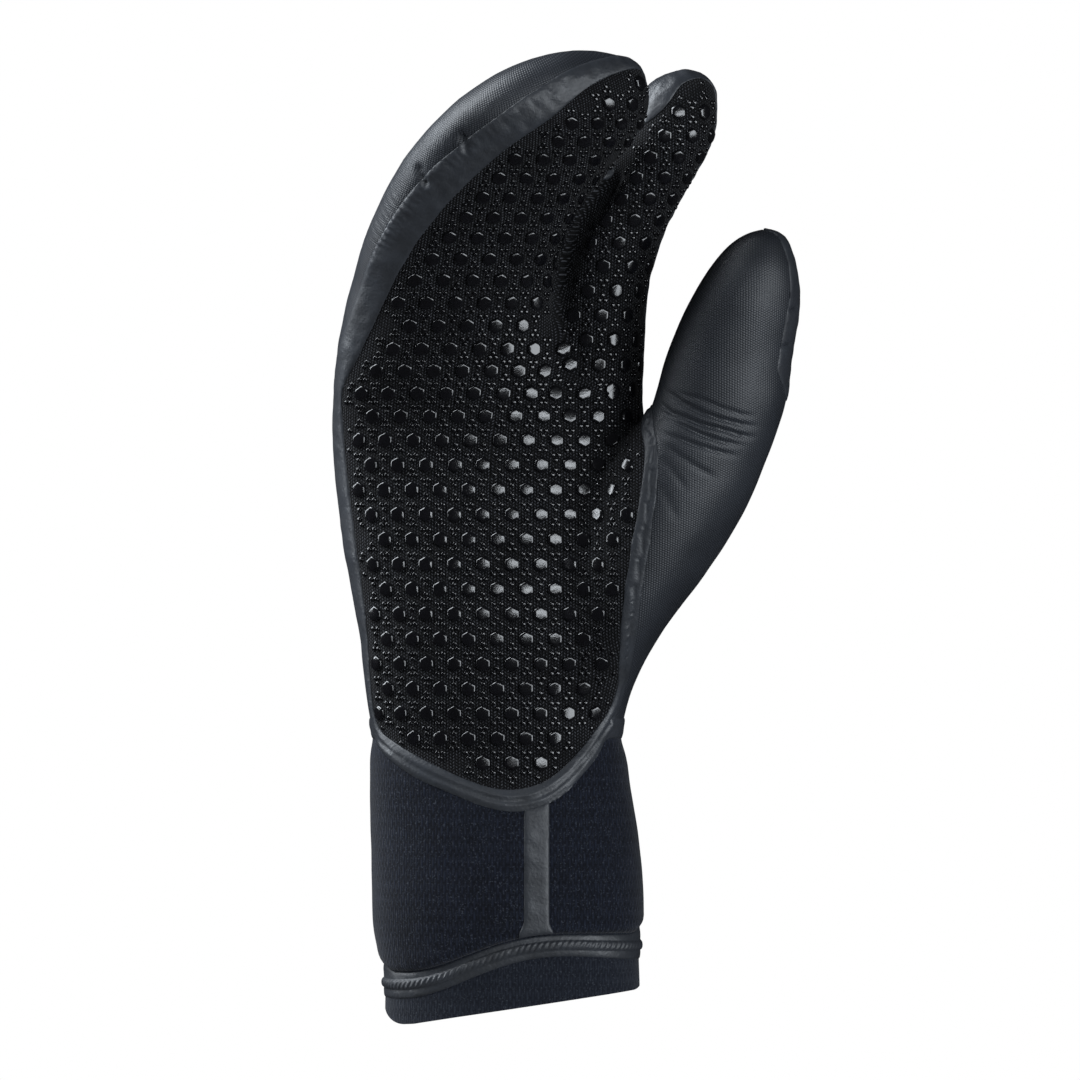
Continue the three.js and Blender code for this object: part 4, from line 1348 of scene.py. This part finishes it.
# Points and triangles of one pad, flat on x and y: a hexagon with rounded corners, or a round dot
def padProfile(sides, radius, high, corner, rings):
    angles = np.arange(sides) / sides * 2 * math.pi
    if corner:
        bend = (angles + math.pi / 6) % (math.pi / 3) - math.pi / 6
        share, power = grip["corner"]
        reach = radius * (share / np.cos(bend)) ** power
    else:
        reach = np.full(sides, radius)
    flat = np.stack([np.cos(angles) * reach, np.sin(angles) * reach], axis=1)
    points = [np.column_stack([flat * share, np.full(sides, up * high)]) for share, up in rings]
    points.append([[0, 0, grip["dish"] * high]])
    faces = []
    for r in range(len(rings) - 1):
        for k in range(sides):
            a, b = r * sides + k, r * sides + (k + 1) % sides
            faces += [(a, b, b + sides), (a, b + sides, a + sides)]
    last = (len(rings) - 1) * sides
    faces += [(last + k, last + (k + 1) % sides, last + sides) for k in range(sides)]
    return np.vstack(points), np.array(faces)


# At each point, the directions in which the flat coordinates u and v grow
def surfaceFrames(data, triangles, u, v):
    p = data[:, :3]
    a, b, c = triangles.T
    e1, e2 = p[b] - p[a], p[c] - p[a]
    du1, du2, dv1, dv2 = u[b] - u[a], u[c] - u[a], v[b] - v[a], v[c] - v[a]
    det = du1 * dv2 - du2 * dv1
    good = np.abs(det) > 0.05  # leaves out triangles that the flat sheet squeezes to nothing
    tu = (e1 * dv2[:, None] - e2 * dv1[:, None])[good] / det[good, None]
    tv = (e2 * du1[:, None] - e1 * du2[:, None])[good] / det[good, None]
    return [directions(triangles[good], t / np.linalg.norm(t, axis=1, keepdims=True), len(p)) for t in (tu, tv)]


# Places of hexagons and dots on the flat sheet, between the lowest and highest u and v
def padPlaces(low, high):
    pitch, step = grip["pitch"], grip["pitch"] * math.sqrt(3) / 2
    for row in range(int(low[1] / step) - 1, int(high[1] / step) + 2):
        for column in range(int(low[0] / pitch) - 1, int(high[0] / pitch) + 2):
            across, up = (column + 0.5 * (row % 2)) * pitch, row * step
            yield "hexagon", across, up
            for way in (-1, 1):
                for third in (90, 210, 330):
                    angle = math.radians(way * third)
                    yield ("dot", across + grip["dotSpread"] * math.cos(angle),
                           up + way * pitch / math.sqrt(3) + grip["dotSpread"] * math.sin(angle))


def makePads():
    surface = BVHTree.FromPolygons(palmData[:, :3].tolist(), palmTriangles.tolist())
    points, faces, count = [], [], 0
    shapes = {
        "hexagon": padProfile(grip["sides"], grip["radius"], grip["high"], True, grip["rings"]),
        "dot": padProfile(grip["dotSides"], grip["dotRadius"], grip["dotHigh"], False, grip["dotRings"]),
    }
    margins = {"hexagon": grip["margin"], "dot": grip["dotMargin"]}
    onFinger = isIndex(palmData, col(palmData, "outHand"), col(palmData, "outIndex"))
    fromValley = alongLine(valleyLine, palmData[:, 0], palmData[:, 2])[0] - grip["valley"]
    inside = np.minimum(col(palmData, "seam") - col(palmData, "half"), fromValley)
    for name, mine in (("hand", ~onFinger), ("index", onFinger)):
        spot = onLimb(limbs[name], palmData[:, :3])
        flat = np.stack([spot["u"], spot["v"], np.zeros(len(mine))], axis=1)
        u, v = flat[:, 0], flat[:, 1]
        tu, tv = surfaceFrames(palmData, palmTriangles, u, v)
        tree = treeOf(flat[mine], np.flatnonzero(mine).tolist())
        for kind, pu, pv in padPlaces(flat[mine].min(axis=0), flat[mine].max(axis=0)):
            _, i, away = tree.find((pu, pv, 0))
            if away > grip["stray"] or inside[i] < margins[kind]:
                continue
            shape, shapeFaces = shapes[kind]
            centre = palmData[i, :3] + tu[i] * (pu - u[i]) + tv[i] * (pv - v[i])
            base = centre + shape[:, :1] * tu[i] + shape[:, 1:2] * tv[i]
            foot = np.array([surface.find_nearest(co)[0] for co in base.tolist()])
            points.append(foot + palmData[i, 3:6] * shape[:, 2:])
            faces.append(shapeFaces + count)
            count += len(shape)
    return np.vstack(points), np.vstack(faces)


padPoints, padFaces = makePads()
makePiece("grip_pads", padPoints, padFaces, padMaterial, (), ("hand", "index"), sharp=60)

# Studio: a pale floor below the mitt, soft boxes, and a room that is pale to look at but lights dimly
studio = {
    "floor": -0.2,
    "floorHalf": 0.65,
    "paper": (0.8, 0.8, 0.8),
    "seen": 1.0,  # how bright the room looks
    "room": 0.015,  # how much light it gives
    "tint": (0.89, 0.945, 1.0),
}
softBoxes = {
    "above": {"place": (-0.42, -0.06, 0.7), "aim": (-0.03, -0.03, 0.24), "size": (0.5, 0.3), "power": 4.4},
    "left": {"place": (-1.3, 0.12, 0.65), "aim": (0, 0, 0.15), "size": (0.5, 1.0), "power": 13.5},
    "right": {"place": (1.2, -1.0, 0.1), "aim": (0, 0, 0.14), "size": (0.9, 0.9), "power": 11.5},
    "front": {"place": (0.47, -1.53, 0.41), "aim": (0, 0, 0.14), "size": (0.92, 0.25), "power": 4.6},
}


def makeFloor():
    mesh = bmesh.new()
    bmesh.ops.create_grid(mesh, x_segments=8, y_segments=8, size=studio["floorHalf"])
    made = bpy.data.meshes.new("floor")
    mesh.to_mesh(made)
    mesh.free()
    paper = newMaterial("floorPaper", Base_Color=(*studio["paper"], 1), Roughness=0.9, Specular_IOR_Level=0.1)
    made.materials.append(paper[0])
    obj = bpy.data.objects.new("floor", made)
    obj.location = (0, 0, studio["floor"])
    obj.visible_glossy = False
    bpy.context.scene.collection.objects.link(obj)


def makeRoom():
    world = bpy.data.worlds.new("room")
    bpy.context.scene.world = world
    world.use_nodes = True
    tree = world.node_tree
    dim, seen = tree.nodes["Background"], tree.nodes.new("ShaderNodeBackground")
    for node, strength in ((dim, studio["room"]), (seen, studio["seen"])):
        node.inputs["Color"].default_value = (1, 1, 1, 1)
        node.inputs["Strength"].default_value = strength
    which = tree.nodes.new("ShaderNodeMixShader")
    tree.links.new(tree.nodes.new("ShaderNodeLightPath").outputs["Is Camera Ray"], which.inputs[0])
    tree.links.new(dim.outputs[0], which.inputs[1])
    tree.links.new(seen.outputs[0], which.inputs[2])
    tree.links.new(which.outputs[0], tree.nodes["World Output"].inputs["Surface"])


def makeLights():
    for name, box in softBoxes.items():
        data = bpy.data.lights.new(name, "AREA")
        data.shape = "RECTANGLE"
        data.size, data.size_y = box["size"]
        data.energy = box["power"]
        data.color = studio["tint"]
        obj = bpy.data.objects.new(name, data)
        obj.location = box["place"]
        obj.rotation_euler = (Vector(box["aim"]) - Vector(box["place"])).to_track_quat("-Z", "Y").to_euler()
        bpy.context.scene.collection.objects.link(obj)
    bpy.context.scene.view_settings.view_transform = "Standard"


makeFloor()
makeRoom()
makeLights()
print("studio: ready")
